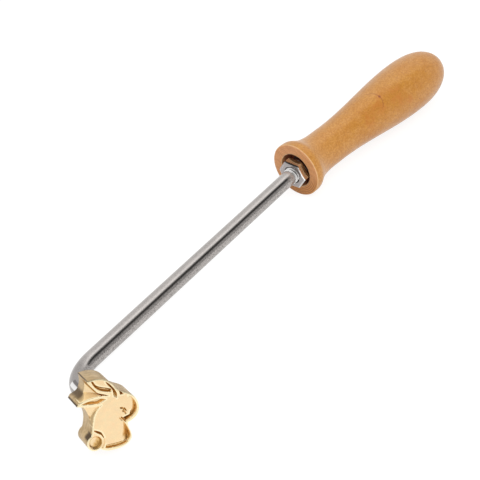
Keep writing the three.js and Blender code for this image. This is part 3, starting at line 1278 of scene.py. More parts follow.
@dataclass
class TurnedHandle:
    """The wooden handle, along X from its front face, in millimetres."""

    flange: float = 13.4
    flange_round: float = 0.5
    land: float = 2.7
    cove_length: float = 17
    cove_hold: float = 0.22
    neck: float = 9.6
    neck_length: float = 7
    swell_length: float = 59.5
    belly: float = 13.9
    butt_length: float = 27.9
    butt_fullness: float = 2.4
    mouth: float = 8.4
    mouth_depth: float = 8
    mouth_round: float = 0.3
    seat: float = 5.8
    seat_depth: float = 22.8
    seat_steps: int = 64
    steps: int = 144
    rows: int = 28
    edge_rows: int = 4

    def profile(self) -> list[Pair]:
        """Draws the handle's outline.

        Returns:
            The points from the mouth's floor, round the front and back to the butt's pole.
        """
        quarter = [i / self.edge_rows * math.pi / 2 for i in range(self.edge_rows + 1)]
        points = [(self.mouth_depth, 0.0), (self.mouth_depth, self.mouth)]
        points += [
            (self.mouth_round * (1 - math.sin(w)), self.mouth + self.mouth_round * (1 - math.cos(w)))
            for w in quarter]
        points += [
            (self.flange_round * (1 - math.cos(w)),
             self.flange - self.flange_round * (1 - math.sin(w))) for w in quarter]
        shares = [i / self.rows for i in range(self.rows + 1)]
        points += [(self._cove_along(t), self._cove_radius(t)) for t in shares]
        swell_start = self.land + self.cove_length + self.neck_length
        points += [
            (swell_start + t * self.swell_length, self.neck + eased(t) * (self.belly - self.neck))
            for t in shares]
        belly_at = swell_start + self.swell_length
        for t in shares[1:]:
            w = t * math.pi / 2
            along = math.sin(w) ** (2 / self.butt_fullness)
            across = math.cos(w) ** (2 / self.butt_fullness) if t < 1 else 0.0
            points.append((belly_at + along * self.butt_length, across * self.belly))
        return points

    def _cove_along(self, t: float) -> float:
        """Gives the distance along the handle at a share of the cove's curve."""
        return self.land + self.cove_length * (3 * self.cove_hold * t * (1 - t) + t ** 3)

    def _cove_radius(self, t: float) -> float:
        """Gives the radius at a share of the cove's curve."""
        return self.flange + (self.neck - self.flange) * (3 * t ** 2 * (1 - t) + t ** 3)

    def build(self, bench: Bench, finish: bpy.types.Material) -> bpy.types.Object:
        """Makes the handle with its mouth and the seat of its bush.

        Args:
            bench: Where the parts lie.
            finish: The wood.

        Returns:
            The piece.
        """
        body = turned(self.profile(), self.steps)
        seat = turned([
            (-OVERCUT, 0), (-OVERCUT, self.seat), (self.seat_depth, self.seat),
            (self.seat_depth, 0)], self.seat_steps)
        to_handle = bench.handle.inverted() @ bench.rod
        to_handle.translation /= MM
        body = combined(body, moved(seat, to_handle), Cut.REMOVE)
        return placed(body, "turned_handle", bench.handle, finish, sharp=40)


@dataclass
class Thread:
    """A rolled M8 thread, along X, in millimetres."""

    pitch: float = 1.25
    crest: float = 3.82
    root: float = 3.25
    crest_width: float = 0.12
    flank_angle: float = 30
    steps: int = 48
    run_out: float = 0.35

    def flank(self) -> float:
        """Gives the length of a flank along the axis."""
        return (self.crest - self.root) * math.tan(math.radians(self.flank_angle))

    def bar(self, start: float, end: float, fade: Callable[[float], float]) -> bmesh.types.BMesh:
        """Makes a threaded bar with flat ends.

        Args:
            start: Where it starts.
            end: Where it ends.
            fade: Gives the radius to which a place along the bar is limited.

        Returns:
            The closed bar.
        """
        turns = math.ceil((end - start) / self.pitch) + 3
        low = start - 1.5 * self.pitch
        half, flank = self.crest_width / 2, self.flank()
        profile = [
            (low + half, self.crest), (low + half + flank, self.root),
            (low + self.pitch - half - flank, self.root), (low + self.pitch - half, self.crest),
            (low + self.pitch + half, self.crest)]
        bm, geometry = strung(profile)
        spun(
            bm, geometry, math.tau * turns, self.steps * turns, advance=self.pitch / self.steps)
        bmesh.ops.remove_doubles(bm, verts=bm.verts, dist=TINY * 10)
        for place, side in ((start, -1), (end, 1)):
            geometry = bm.verts[:] + bm.edges[:] + bm.faces[:]
            bmesh.ops.bisect_plane(
                bm, geom=geometry, dist=TINY / 10, plane_co=(place, 0, 0), plane_no=(side, 0, 0),
                clear_outer=True)
            rim = [e for e in bm.edges if e.is_boundary and all(
                abs(v.co.x - place) < TINY * 10 for v in e.verts)]
            bmesh.ops.contextual_create(bm, geom=rim)
        for vert in bm.verts:
            radius = math.hypot(vert.co.y, vert.co.z)
            limit = fade(vert.co.x)
            if radius > limit:
                vert.co.y *= limit / radius
                vert.co.z *= limit / radius
        bmesh.ops.recalc_face_normals(bm, faces=bm.faces)
        return bm


@dataclass
class BentRod:
    """The steel rod with a thread at each end, in millimetres in the rod's frame."""

    radius: float = 3.55
    bend_radius: float = 16.4
    bare_thread: float = 1.9
    leg_thread: float = 10
    bush_end: float = 20.8
    die_engagement: float = 7.2
    thread_sink: float = 0.03
    chamfer: float = 0.6
    steps: int = 64
    bend_steps: int = 36
    thread: Thread = field(default_factory=Thread)

    def build(self, bench: Bench, nut_front: float, finish: bpy.types.Material) -> bpy.types.Object:
        """Sweeps the smooth rod round its bend and joins the threads to it.

        Args:
            bench: Where the parts lie.
            nut_front: Place of the nut's front face.
            finish: The steel.

        Returns:
            The piece.
        """
        thread_start = nut_front - self.bare_thread
        thread_from = bench.leg_length - self.leg_thread
        run_out = self.thread.run_out
        smooth = self._sweep(bench, thread_start + run_out, thread_from + run_out)
        screw = self._thread(thread_start, self.bush_end)
        stud = self._thread(thread_from, bench.leg_length + self.die_engagement)
        to_leg = Matrix.Translation((-bench.reach, 0, 0)) @ Matrix.Rotation(
            bench.bend + math.pi, 4, "Z")
        rod = combined(smooth, screw, Cut.JOIN)
        rod = combined(rod, moved(stud, to_leg), Cut.JOIN)
        return placed(
            rod, "bent_rod", bench.rod, finish, texture_place=lambda point: self.unbent(point, bench))

    def _thread(self, start: float, end: float) -> bmesh.types.BMesh:
        """Makes one thread that grows out of the smooth rod and ends in a chamfer.

        Args:
            start: Where it starts.
            end: Where it ends.

        Returns:
            The closed bar.
        """
        def fade(along: float) -> float:
            """Limits the radius where the thread runs out and at its chamfered end.

            Args:
                along: The place along the bar.

            Returns:
                The radius.
            """
            rise = eased((along - start) / self.thread.run_out)
            sunk = self.radius - self.thread_sink
            grown = sunk + rise * (self.thread.crest - sunk)
            return min(grown, self.thread.crest - self.chamfer + (end - along))
        return self.thread.bar(start, end, fade)

    def _sweep(self, bench: Bench, start: float, leg_end: float) -> bmesh.types.BMesh:
        """Carries a circle along the rod, round the bend and down the leg.

        Args:
            bench: Where the parts lie.
            start: Where the smooth rod ends in the handle's thread.
            leg_end: Where it ends in the die's thread, from the corner of the bend.

        Returns:
            The closed rod.
        """
        cut = self.bend_radius * math.tan(bench.bend / 2)
        taper = self.radius - self.thread.root
        bm = bmesh.new()
        facing = Matrix.Translation((start, 0, 0)) @ Matrix.Rotation(math.pi / 2, 4, "Y")
        bmesh.ops.create_circle(
            bm, cap_ends=True, segments=self.steps, radius=self.thread.root, matrix=facing)
        wider = self.radius / self.thread.root
        ring = self._carry(bm, bm.edges[:], Vector((-taper, 0, 0)), wider)
        ring = self._carry(bm, ring, Vector((-bench.reach + cut - start + taper, 0, 0)))
        centre = (-bench.reach + cut, -self.bend_radius, 0)
        ring = spun(bm, ring, bench.bend, self.bend_steps, centre, axis=(0, 0, 1))
        down = Vector((-math.cos(bench.bend), -math.sin(bench.bend), 0))
        ring = self._carry(bm, ring, down * (leg_end - cut - taper))
        ring = self._carry(bm, ring, down * taper, 1 / wider)
        bmesh.ops.contextual_create(bm, geom=picked(ring, bmesh.types.BMEdge))
        return closed(bm)

    @staticmethod
    def _carry(
        bm: bmesh.types.BMesh, ring: list, move: Vector, scale: float = 1,
    ) -> list:
        """Extrudes a ring of edges along a line and scales it about its own middle.

        Args:
            bm: The shape.
            ring: The ring's geometry.
            move: How far it goes.
            scale: How much wider it gets.

        Returns:
            The new ring's vertices and edges.
        """
        new = bmesh.ops.extrude_edge_only(bm, edges=picked(ring, bmesh.types.BMEdge))["geom"]
        verts = picked(new, bmesh.types.BMVert)
        bmesh.ops.translate(bm, verts=verts, vec=move)
        middle = sum((v.co for v in verts), Vector()) / len(verts)
        bmesh.ops.scale(bm, verts=verts, vec=(scale,) * 3, space=Matrix.Translation(-middle))
        return verts + picked(new, bmesh.types.BMEdge)

    def bend_start(self, bench: Bench) -> float:
        """Gives the place where the straight part ends."""
        return -bench.reach + self.bend_radius * math.tan(bench.bend / 2)

    def straight_end(self, bench: Bench) -> float:
        """Gives the place of the die's back along the straightened rod."""
        cut = self.bend_radius * math.tan(bench.bend / 2)
        return self.bend_start(bench) - self.bend_radius * bench.bend - (bench.leg_length - cut)

    def unbent(self, point: Vector, bench: Bench) -> Vector:
        """Gives the place that a point would have if the rod were straight.

        Args:
            point: A point of the rod, in its frame.
            bench: Where the parts lie.

        Returns:
            The point on the straight rod.
        """
        start = self.bend_start(bench)
        if point.x > start:
            return point.copy()
        centre = Vector((start, -self.bend_radius, 0))
        spoke = point - centre
        turn = min(max(math.atan2(-spoke.x, spoke.y), 0.0), bench.bend)
        back = Matrix.Rotation(-turn, 3, "Z") @ spoke
        return Vector((start - self.bend_radius * turn + back.x, back.y - self.bend_radius, point.z))


@dataclass
class ThinNut:
    """The M8 lock nut, along X, in millimetres in the rod's frame."""

    across_flats: float = 13
    thickness: float = 4
    back: float = 0.5
    bore: float = 4.05
    countersink: float = 0.35
    groove: float = 0.42
    groove_share: float = 0.6
    groove_inset: float = 0.2
    pitch: float = 1.25
    turn: float = 24
    chamfer_angle: float = 22
    face_inset: float = 0.25
    edge_round: float = 0.14
    steps: int = 96

    @property
    def front(self) -> float:
        """Place of the front face."""
        return self.back - self.thickness

    def build(self, bench: Bench, finish: bpy.types.Material) -> bpy.types.Object:
        """Makes the nut: a prism, turned down at its corners and bored.

        Args:
            bench: Where the parts lie.
            finish: The plated steel.

        Returns:
            The piece.
        """
        corner = self.across_flats / math.sqrt(3)
        angles = [i * math.pi / 3 for i in range(6)]
        outline = [(corner * math.cos(w), corner * math.sin(w)) for w in angles]
        body = prism(outline, 0, self.thickness)
        upright = [
            e for e in body.edges
            if abs(e.verts[0].co.z - e.verts[1].co.z) > self.thickness / 2]
        rounded(body, upright, self.edge_round, 3)
        axes = Matrix(((0, 0, 1), (-1, 0, 0), (0, -1, 0))).to_4x4()
        turn = Matrix.Rotation(math.radians(self.turn), 4, "X")
        moved(body, Matrix.Translation((self.front, 0, 0)) @ turn @ axes)
        face = self.across_flats / 2 - self.face_inset
        wide = corner + self.face_inset
        slope = (wide - face) * math.tan(math.radians(self.chamfer_angle))
        soft = self.edge_round
        lathe = turned([
            (self.front, 0), (self.front, face - soft), (self.front + soft * 0.3, face),
            (self.front + slope, wide), (self.back - slope, wide), (self.back - soft * 0.3, face),
            (self.back, face - soft), (self.back, 0)], self.steps)
        body = combined(body, lathe, Cut.KEEP)
        body = combined(body, self._bore(), Cut.REMOVE)
        return placed(body, "thin_nut", bench.rod, finish, sharp=24)

    def _bore(self) -> bmesh.types.BMesh:
        """Makes the tool that leaves a countersunk hole with thread grooves in its wall.

        Returns:
            The closed tool.
        """
        sink, width = self.countersink, self.pitch * self.groove_share
        low, high, wide = self.front - OVERCUT, self.back + OVERCUT, self.bore + sink + OVERCUT
        points = [(low, 0), (low, wide), (self.front + sink, self.bore)]
        along = self.front + sink + self.groove_inset
        while along + width < self.back - sink:
            points += [
                (along, self.bore), (along + width / 2, self.bore + self.groove),
                (along + width, self.bore)]
            along += self.pitch
        points += [(self.back - sink, self.bore), (high, wide), (high, 0)]
        return turned(points, self.steps)


@dataclass
class Bush:
    """The threaded steel bush, glued in the wood, in millimetres in the rod's frame."""

    radius: float = 5.5
    start: float = 0.8
    length: float = 21.7
    bore: float = 4.05
    chamfer: float = 0.6
    groove_count: int = 6
    groove_depth: float = 0.35
    steps: int = 64

    def build(self, bench: Bench, finish: bpy.types.Material) -> bpy.types.Object:
        """Makes the sleeve with glue grooves round it.

        Args:
            bench: Where the parts lie.
            finish: The machined steel.

        Returns:
            The piece.
        """
        end = self.start + self.length
        outside = [(self.start, self.radius - self.chamfer), (self.start + self.chamfer, self.radius)]
        step = (self.length - 4 * self.chamfer) / self.groove_count
        for i in range(self.groove_count):
            along = self.start + 2 * self.chamfer + step * (i + 0.25)
            outside += [
                (along, self.radius), (along + step / 4, self.radius - self.groove_depth),
                (along + step / 2, self.radius)]
        outside += [(end - self.chamfer, self.radius), (end, self.radius - self.chamfer)]
        inside = [
            (end, self.bore + self.chamfer / 2), (end - self.chamfer / 2, self.bore),
            (self.start + self.chamfer / 2, self.bore), (self.start, self.bore + self.chamfer / 2)]
        ring = outside + inside
        return placed(turned(ring + ring[:1], self.steps), "bush_sleeve", bench.rod, finish)


class Wall(Enum):
    """How steep the wall under a hollow's edge is: its depth for each unit away from the edge."""

    OPEN = 99.0
    SHEER = 9.0
    STEEP = 3.0
    FIRM = 1.6
    SOFT = 0.55


@dataclass(frozen=True)
class Run:
    """One run of a hollow's edge on the drawing grid.

    It has the wall under it, how dark that has turned, the width of a seam of painted shade along
    it, and whether the plateau gleams beside it with a painted highlight. A stain under -1 makes
    the wall scatter light.
    """

    wall: Wall
    points: tuple[Pair, ...]
    stain: float = 0.8
    seam: float = 0.0
    crisp: bool = True


@dataclass(frozen=True)
class Hollow:
    """A hollow in the stamping face.

    Its edge is given run by run. Its floor is flat, or falls from one place to another, where it
    reaches the full depth. It has turned dark from the depth at which its stain is full.
    """

    depth: float
    runs: tuple[Run, ...]
    fall: tuple[Pair, Pair] | None = None
    floor_stain: float = 0.6
    stain_depth: float = 0.4


@dataclass(frozen=True)
class Stroke:
    """A short engraved line on the drawing grid: points, half width, depth and stain."""

    points: tuple[Pair, ...]
    half_width: float
    depth: float
    stain: float


def distance_to(places: np.ndarray, line: np.ndarray) -> np.ndarray:
    """Measures how far places lie from a broken line.

    Args:
        places: The places, one row each.
        line: The line's points, one row each.

    Returns:
        The least distance of each place.
    """
    least = np.full(len(places), np.inf)
    for start, end in zip(line, line[1:]):
        along = end - start
        share = ((places - start) @ along) / max(float(along @ along), TINY ** 2)
        foot = start + np.clip(share, 0, 1)[:, None] * along
        least = np.minimum(least, np.linalg.norm(places - foot, axis=1))
    return least


def inside(places: np.ndarray, loop: np.ndarray) -> np.ndarray:
    """Tells which places lie inside a closed loop.

    Args:
        places: The places, one row each.
        loop: The loop's corners, one row each.

    Returns:
        True or false for each place.
    """
    result = np.zeros(len(places), bool)
    for (ax, ay), (bx, by) in zip(loop, np.roll(loop, -1, axis=0)):
        crosses = (ay > places[:, 1]) != (by > places[:, 1])
        if ay != by:
            at = ax + (places[:, 1] - ay) / (by - ay) * (bx - ax)
            result ^= crosses & (places[:, 0] < at)
    return result


@dataclass
class RabbitDie:
    """The brass die. Its points lie on a drawing grid, X to the nose and Y to the ears.

    The tail's dish is painted darker one way, as painted shade: its shade has a middle value, a
    slope and a span. The painted shade of a seam starts from a share over 1, so that it is full
    near the edge, and has a limit.
    """

    grid: float = 0.889
    thickness: float = 10
    edge_round: float = 0.4
    edge_slope: float = 0.6
    mesh_step: float = 0.1
    curve_steps: int = 10
    bore: float = 4.05
    bore_depth: float = 8
    bore_sink: float = 0.5
    bore_steps: int = 64
    back_chamfer: float = 0.25
    tail: Pair = (-4.5, -10.2)
    tail_radius: float = 3.49
    tail_rim: float = 0.7
    tail_from: float = 125
    tail_to: float = 306
    tail_steps: int = 28
    dish_depth: float = 0.8
    dish_slope: float = 1.1
    dish_shade_way: Pair = (0.85, -0.5)
    dish_shade: Pair = (0.35, 1.1)
    dish_shade_span: Pair = (-0.6, 1.1)
    dish_edge: float = 0.3
    gleam: float = 0.9
    gleam_width: float = 1.0
    seam_shade: Pair = (1.8, 0.95)
    least_fall: float = 0.02
    ear_tip: Pair = (-9.5, 15.7)
    low_ear_tip: Pair = (-13, 5.6)
    chin: Pair = (8.7, -3.2)

    def outline(self) -> list[Pair]:
        """Draws the rabbit's outline on the grid.

        Returns:
            The points, anticlockwise from the upper ear's tip.
        """
        runs = [
            (self.ear_tip, (-8.9, 13.8), (-8.8, 11.2), (-9.7, 8.7), (-12.3, 7)),
            ((-12.3, 7), self.low_ear_tip),
            (self.low_ear_tip, (-11.2, 5.3), (-9.2, 3.9), (-7.6, 1.6), (-6.5, -1), (-6.1, -3.8),
             (-6.3, -6.6)),
            tuple(self.tail_arc(self.tail_radius)),
            ((-1.6, -13.5), (1.1, -14.2), (4.3, -14), (7.6, -13.1), (9.8, -11.6), (10.8, -9.6),
             (10.2, -7.2), (9.2, -5.2), self.chin),
            (self.chin, (10.9, -1.9), (12.5, -0.3), (13.2, 2.4), (12.3, 5.6), (10.4, 8),
             (8.2, 9.3), (6, 10.1), (3.9, 11)),
            ((3.9, 11), (2.3, 12.3), (0.6, 14.2), (-1.5, 15.6), (-3.8, 16.3), (-6.3, 16.4)),
            ((-6.3, 16.4), self.ear_tip),
        ]
        return [point for run in runs for point in (
            run if len(run) > self.tail_steps else curve_through(run, self.curve_steps))]

    def tail_arc(self, radius: float) -> list[Pair]:
        """Draws the arc of the tail on the grid.

        Args:
            radius: The arc's radius.

        Returns:
            The points, from the back to the feet.
        """
        points = []
        for i in range(self.tail_steps + 1):
            w = math.radians(self.tail_from + (self.tail_to - self.tail_from) * i / self.tail_steps)
            points.append((self.tail[0] + radius * math.cos(w), self.tail[1] + radius * math.sin(w)))
        return points

    def hollows(self) -> list[Hollow]:
        """Lists the hollows that are cut in the stamping face."""
        return [*self._grounds(), *self._ears(), *self._rims()]

    def _grounds(self) -> list[Hollow]:
        """Draws the ground between the ears, and under the lower ear down the back.

        Returns:
            The hollows.
        """
        between = Hollow(4.4, (
            Run(Wall.SHEER, (
                self.ear_tip, (-9, 14.8), (-7.7, 13.4), (-5.7, 11.4), (-4.5, 10.5), (-2.1, 9.8),
                (0.1, 9.1)), 0.3, 0.4),
            Run(Wall.STEEP, (
                (0.1, 9.1), (-2.1, 9.2), (-4.6, 9.1), (-7, 8.7), (-9.8, 8), (-12.3, 7)), -2.2),
            Run(Wall.OPEN, ((-12.3, 7), (-15, 9))), Run(Wall.OPEN, ((-15, 9), (-13, 17))),
            Run(Wall.OPEN, ((-13, 17), self.ear_tip))), ((-0.6, 9.4), (-9.4, 10.2)), -0.25)
        under = Hollow(2.8, (
            Run(Wall.OPEN, (self.low_ear_tip, (-15, 3))), Run(Wall.OPEN, ((-15, 3), (-8, -7))),
            Run(Wall.OPEN, ((-8, -7), (-6.3, -6.5))),
            Run(Wall.SHEER, (
                (-6.1, -6.5), (-6.1, -3.8), (-5.9, -0.8), (-5.7, 0.6), (-5.2, 2.3), (-4.3, 3.9),
                (-2.9, 5.4)), -2.0),
            Run(Wall.SHEER, ((-2.9, 5.4), (-6.2, 5), (-9.5, 5.2), self.low_ear_tip), 0.3)),
            ((-3.6, 5.2), (-7.6, 1.2)), 0.08)
        return [between, under]

    @staticmethod
    def _ears() -> list[Hollow]:
        """Draws the insides of the ears, the fold at their root and the gap beside it.

        Returns:
            The hollows.
        """
        lower = Hollow(1.1, (
            Run(Wall.FIRM, (
                (-11.4, 6.3), (-9.4, 6.2), (-6.9, 6.1), (-4.4, 6.1), (-3, 6.7), (-1.1, 7.8)), 0.25),
            Run(Wall.STEEP, (
                (-1.1, 7.8), (-3.3, 8.2), (-4.9, 8.2), (-6.6, 7.9), (-8.6, 7.4), (-10.6, 6.7),
                (-11.4, 6.3)), 0.6)), floor_stain=0.2)
        upper = Hollow(0.9, (
            Run(Wall.FIRM, (
                (-7.9, 15.6), (-7, 14), (-5.8, 12.7), (-4.3, 11.7), (-2.6, 11.1), (-0.5, 10.7),
                (0.9, 10.6)), 0.85),
            Run(Wall.FIRM, ((0.9, 10.6), (0.9, 11.9)), 0.9),
            Run(Wall.FIRM, (
                (0.9, 11.9), (-1.5, 12.6), (-3.1, 12.9), (-4.8, 13.5), (-5.9, 14.2), (-6.8, 15.5)),
                0.85),
            Run(Wall.STEEP, ((-6.8, 15.5), (-7.9, 15.6)), 0.9)), floor_stain=0.4)
        fold = Hollow(1.2, (
            Run(Wall.FIRM, (
                (-2, 15.2), (-1.1, 13.8), (0, 12.7), (0.9, 11.8), (1.5, 10.7), (1.9, 8.6)), 0.85),
            Run(Wall.SOFT, ((1.9, 8.6), (3.4, 7.7)), 0.5),
            Run(Wall.STEEP, (
                (3.4, 7.7), (3.4, 9.4), (2.8, 10.7), (1.9, 11.9), (0.6, 13.3), (-0.7, 14.4),
                (-2, 15.2)), 1.0)), floor_stain=0.6)
        gap = Hollow(1.0, (
            Run(Wall.STEEP, ((4.7, 8.9), (6.3, 9.2)), 0.8),
            Run(Wall.STEEP, ((6.3, 9.2), (4, 11.1)), 0.7),
            Run(Wall.STEEP, ((4, 11.1), (4.7, 8.9)), 0.8)), floor_stain=0.6)
        return [lower, upper, fold, gap]

    @staticmethod
    def _rims() -> list[Hollow]:
        """Draws the hollows along the rims of the face, the breast, the feet and the tail.

        Returns:
            The hollows.
        """
        cheek = Hollow(1.4, (
            Run(Wall.SOFT, ((8, 8.4), (9.4, 6.7), (9.8, 4.7), (9.8, 2.7), (9.3, 1.9)), 0.75),
            Run(Wall.FIRM, ((9.3, 1.9), (9.1, 0.5), (7.9, -0.1), (6.5, -0.6)), 0.9),
            Run(Wall.FIRM, ((6.5, -0.6), (7.8, -2.5)), 0.9),
            Run(Wall.FIRM, (
                (7.8, -2.5), (9.8, -1.2), (11.3, 0.1), (12.1, 1.3), (12.3, 3.1), (11.9, 4.6),
                (10.9, 6.3), (9.5, 7.8), (8, 8.4)), 0.95)), floor_stain=0.85, stain_depth=0.8)
        breast = Hollow(1.4, (
            Run(Wall.SOFT, ((6.2, -1.6), (6.4, -4.1), (6.4, -6.2), (6.3, -8.7), (7.1, -10.6)), 0.65),
            Run(Wall.FIRM, ((7.1, -10.6), (9.3, -10.8)), 0.9),
            Run(Wall.FIRM, (
                (9.3, -10.8), (10.2, -9.4), (10.1, -7.6), (8.9, -5.3), (7.4, -3), (6.2, -1.6)), 0.95)),
            floor_stain=0.8, stain_depth=1.0)
        feet = Hollow(0.8, (
            Run(Wall.STEEP, ((-0.1, -11.6), (-0.3, -13.1)), 1.0),
            Run(Wall.FIRM, ((-0.3, -13.1), (2.7, -13.1), (5.4, -12.8), (8, -12.1), (9.4, -11.1)), 0.6),
            Run(Wall.FIRM, ((9.4, -11.1), (7.5, -10.6), (4.7, -11.1), (2, -11.4), (-0.1, -11.6)), 0.65,
                crisp=False)),
            floor_stain=0.35)
        tail_top = Hollow(1.0, (
            Run(Wall.STEEP, ((-5.5, -5.3), (-3.8, -6.4), (-2.4, -7.2), (-1.2, -8.8)), 0.8),
            Run(Wall.FIRM, ((-1.2, -8.8), (-1, -8.2)), 0.8),
            Run(Wall.FIRM, ((-1, -8.2), (-2.2, -6.2), (-3.8, -5.3), (-5.4, -4.8)), 0.7),
            Run(Wall.STEEP, ((-5.4, -4.8), (-5.5, -5.3)), 0.9)), floor_stain=0.6)
        return [cheek, breast, feet, tail_top]

    @staticmethod
    def strokes() -> list[Stroke]:
        """Draws the short lines at the nose and the chin, and the seam beside the tail.

        Returns:
            The strokes.
        """
        return [
            Stroke(((5.2, 3.4), (6.1, 3.3), (6.6, 2.6)), 0.4, 0.4, 0.7),
            Stroke(((6.9, 3.1), (7.6, 2.2)), 0.36, 0.4, 0.8),
            Stroke(((6.2, 2.0), (7.0, 1.7), (7.5, 0.9)), 0.4, 0.4, 0.6),
            Stroke(((5.9, -0.7), (7.6, -2.4)), 0.4, 0.5, 0.8),
            Stroke(((5.1, -0.9), (6.1, -1.9)), 0.32, 0.3, 0.45),
            Stroke(((-1, -8.8), (-0.8, -10), (-0.9, -11.3), (-1.5, -12.5)), 0.3, 0.2, 0.25),
        ]

    def carve(self, places: np.ndarray) -> tuple[np.ndarray, np.ndarray]:
        """Works out how deep the face lies under its plane, how dark it has turned, and where it has
        painted highlights and painted shade.

        Args:
            places: Places on the face in millimetres, one row each.

        Returns:
            The depth and the patina at each place.
        """
        edge = np.array(self.outline()) * self.grid
        rim = distance_to(places, np.vstack([edge, edge[:1]]))
        near = np.clip(self.edge_round - rim, 0, None)
        depth = self.edge_slope / 2 * near ** 2 / self.edge_round
        patina = np.zeros(len(places))
        for hollow in self.hollows():
            cut, tint, gap = self._hollow_at(places, hollow)
            deeper = cut > depth
            depth = np.where(deeper, cut, depth)
            patina = np.where(deeper, tint, patina)
            rim = np.minimum(rim, np.where(cut > 0, np.inf, gap))
        raised = depth <= self.edge_round
        # painted highlight: the plateau gleams along the edges of its hollows and of the outline
        gleam = np.clip(self.gleam - rim / self.gleam_width, 0, 1)
        patina -= np.where(raised & (patina <= 0), gleam, 0)
        for stroke in self.strokes():
            gap = distance_to(places, np.array(stroke.points) * self.grid)
            share = np.clip(1 - gap / (stroke.half_width * self.grid), 0, 1)
            patina = np.where(share > 0, np.maximum(patina, stroke.stain * np.sqrt(share)), patina)
            depth = np.maximum(depth, stroke.depth * share)
        from_tail = places - np.array(self.tail) * self.grid
        off_tail = np.linalg.norm(from_tail, axis=1)
        dish = (self.tail_radius - self.tail_rim) * self.grid
        bowl = np.clip((dish - off_tail) * self.dish_slope, 0, self.dish_depth)
        # painted shade: the tail's dish is darker towards one side
        toward_feet = from_tail @ np.array(self.dish_shade_way) / dish
        middle, slope = self.dish_shade
        stain = np.clip(middle + slope * toward_feet, *self.dish_shade_span)
        in_bowl = np.clip(bowl / self.dish_edge, 0, 1)
        return np.maximum(depth, bowl), patina * (1 - in_bowl) + stain * in_bowl

    def _hollow_at(
        self, places: np.ndarray, hollow: Hollow,
    ) -> tuple[np.ndarray, np.ndarray, np.ndarray]:
        """Works out one hollow's depth and patina, which are zero outside it.

        Args:
            places: Places on the face in millimetres, one row each.
            hollow: The hollow.

        Returns:
            The depth and the patina at each place, and its distance from the hollow's edge.
        """
        lines = [np.array([*curve_through(run.points, self.curve_steps), run.points[-1]]) * self.grid
                 for run in hollow.runs]
        within = inside(places, np.vstack([line[:-1] for line in lines]))
        gaps = np.array([distance_to(places, line) for line in lines])
        walls = gaps * np.array([run.wall.value for run in hollow.runs])[:, None]
        floor = np.full(len(places), hollow.depth)
        if hollow.fall is not None:
            start, end = (np.array(point) * self.grid for point in hollow.fall)
            way = end - start
            floor *= np.clip((places - start) @ way / (way @ way), self.least_fall, 1)
        lowest = np.min(walls, axis=0)
        cut = np.minimum(lowest, floor)
        stains = np.array([run.stain for run in hollow.runs])[np.argmin(walls, axis=0)]
        tint = np.where(lowest < floor, stains, hollow.floor_stain)
        tint = tint * np.clip(cut / hollow.stain_depth, 0, 1)
        # painted shade: a dark seam along the foot of a wall
        for run, gap in zip(hollow.runs, gaps):
            if run.seam:
                full, most = self.seam_shade
                recess_shade = np.clip(full - gap / run.seam, 0, most)
                tint = np.where(recess_shade > 0, np.maximum(tint, recess_shade), tint)
        edges = [gap for run, gap in zip(hollow.runs, gaps) if run.crisp and run.wall not in (
            Wall.OPEN, Wall.SOFT)]
        return cut * within, tint * within, np.min(edges, axis=0)

    def build(self, bench: Bench, finish: bpy.types.Material) -> bpy.types.Object:
        """Makes the die: a fine slab cut to the outline, bored, and carved on its face.

        Args:
            bench: Where the parts lie.
            finish: The brass.

        Returns:
            The piece.
        """
        edge = [(x * self.grid, y * self.grid) for x, y in self.outline()]
        blank = prism(edge, 0, self.thickness + OVERCUT)
        back = [e for e in blank.edges if all(v.co.z < TINY for v in e.verts)]
        rounded(blank, back, self.back_chamfer, 2)
        body = combined(self._slab(edge), blank, Cut.KEEP)
        hole = turned([
            (-OVERCUT, 0), (-OVERCUT, self.bore + self.bore_sink + OVERCUT),
            (self.bore_sink, self.bore), (self.bore_depth, self.bore), (self.bore_depth, 0)],
            self.bore_steps)
        upright = Matrix.Rotation(-math.pi / 2, 3, "Y")
        bmesh.ops.rotate(hole, verts=hole.verts, cent=(0, 0, 0), matrix=upright)
        body = combined(body, hole, Cut.REMOVE)
        layer = body.verts.layers.float.new(PATINA_AND_PAINTED_LIGHT)
        top = [v for v in body.verts if v.co.z > self.thickness - TINY * 10]
        depths, patinas = self.carve(np.array([v.co.xy for v in top]))
        for vert, depth, patina in zip(top, depths, patinas):
            vert.co.z -= depth
            vert[layer] = patina
        bmesh.ops.recalc_face_normals(body, faces=body.faces)
        return placed(body, "rabbit_die", bench.die, finish, sharp=50)

    def _slab(self, edge: Sequence[Pair]) -> bmesh.types.BMesh:
        """Makes a closed slab whose top is a fine grid.

        Args:
            edge: The outline that it has to cover.

        Returns:
            The slab.
        """
        xs, ys = zip(*edge)
        width, height = (max(each) - min(each) + OVERCUT for each in (xs, ys))
        middle = Vector(((max(xs) + min(xs)) / 2, (max(ys) + min(ys)) / 2, self.thickness))
        bm = bmesh.new()
        bmesh.ops.create_grid(
            bm, x_segments=round(width / self.mesh_step), y_segments=round(height / self.mesh_step),
            size=0.5, matrix=Matrix.Translation(middle) @ Matrix.Diagonal((width, height, 1, 1)))
        rim = [e for e in bm.edges if e.is_boundary]
        new = bmesh.ops.extrude_edge_only(bm, edges=rim)["geom"]
        bmesh.ops.translate(
            bm, verts=picked(new, bmesh.types.BMVert), vec=(0, 0, -self.thickness - 2 * OVERCUT))
        bmesh.ops.contextual_create(bm, geom=picked(new, bmesh.types.BMEdge))
        bmesh.ops.recalc_face_normals(bm, faces=bm.faces)
        return bm


# The studio


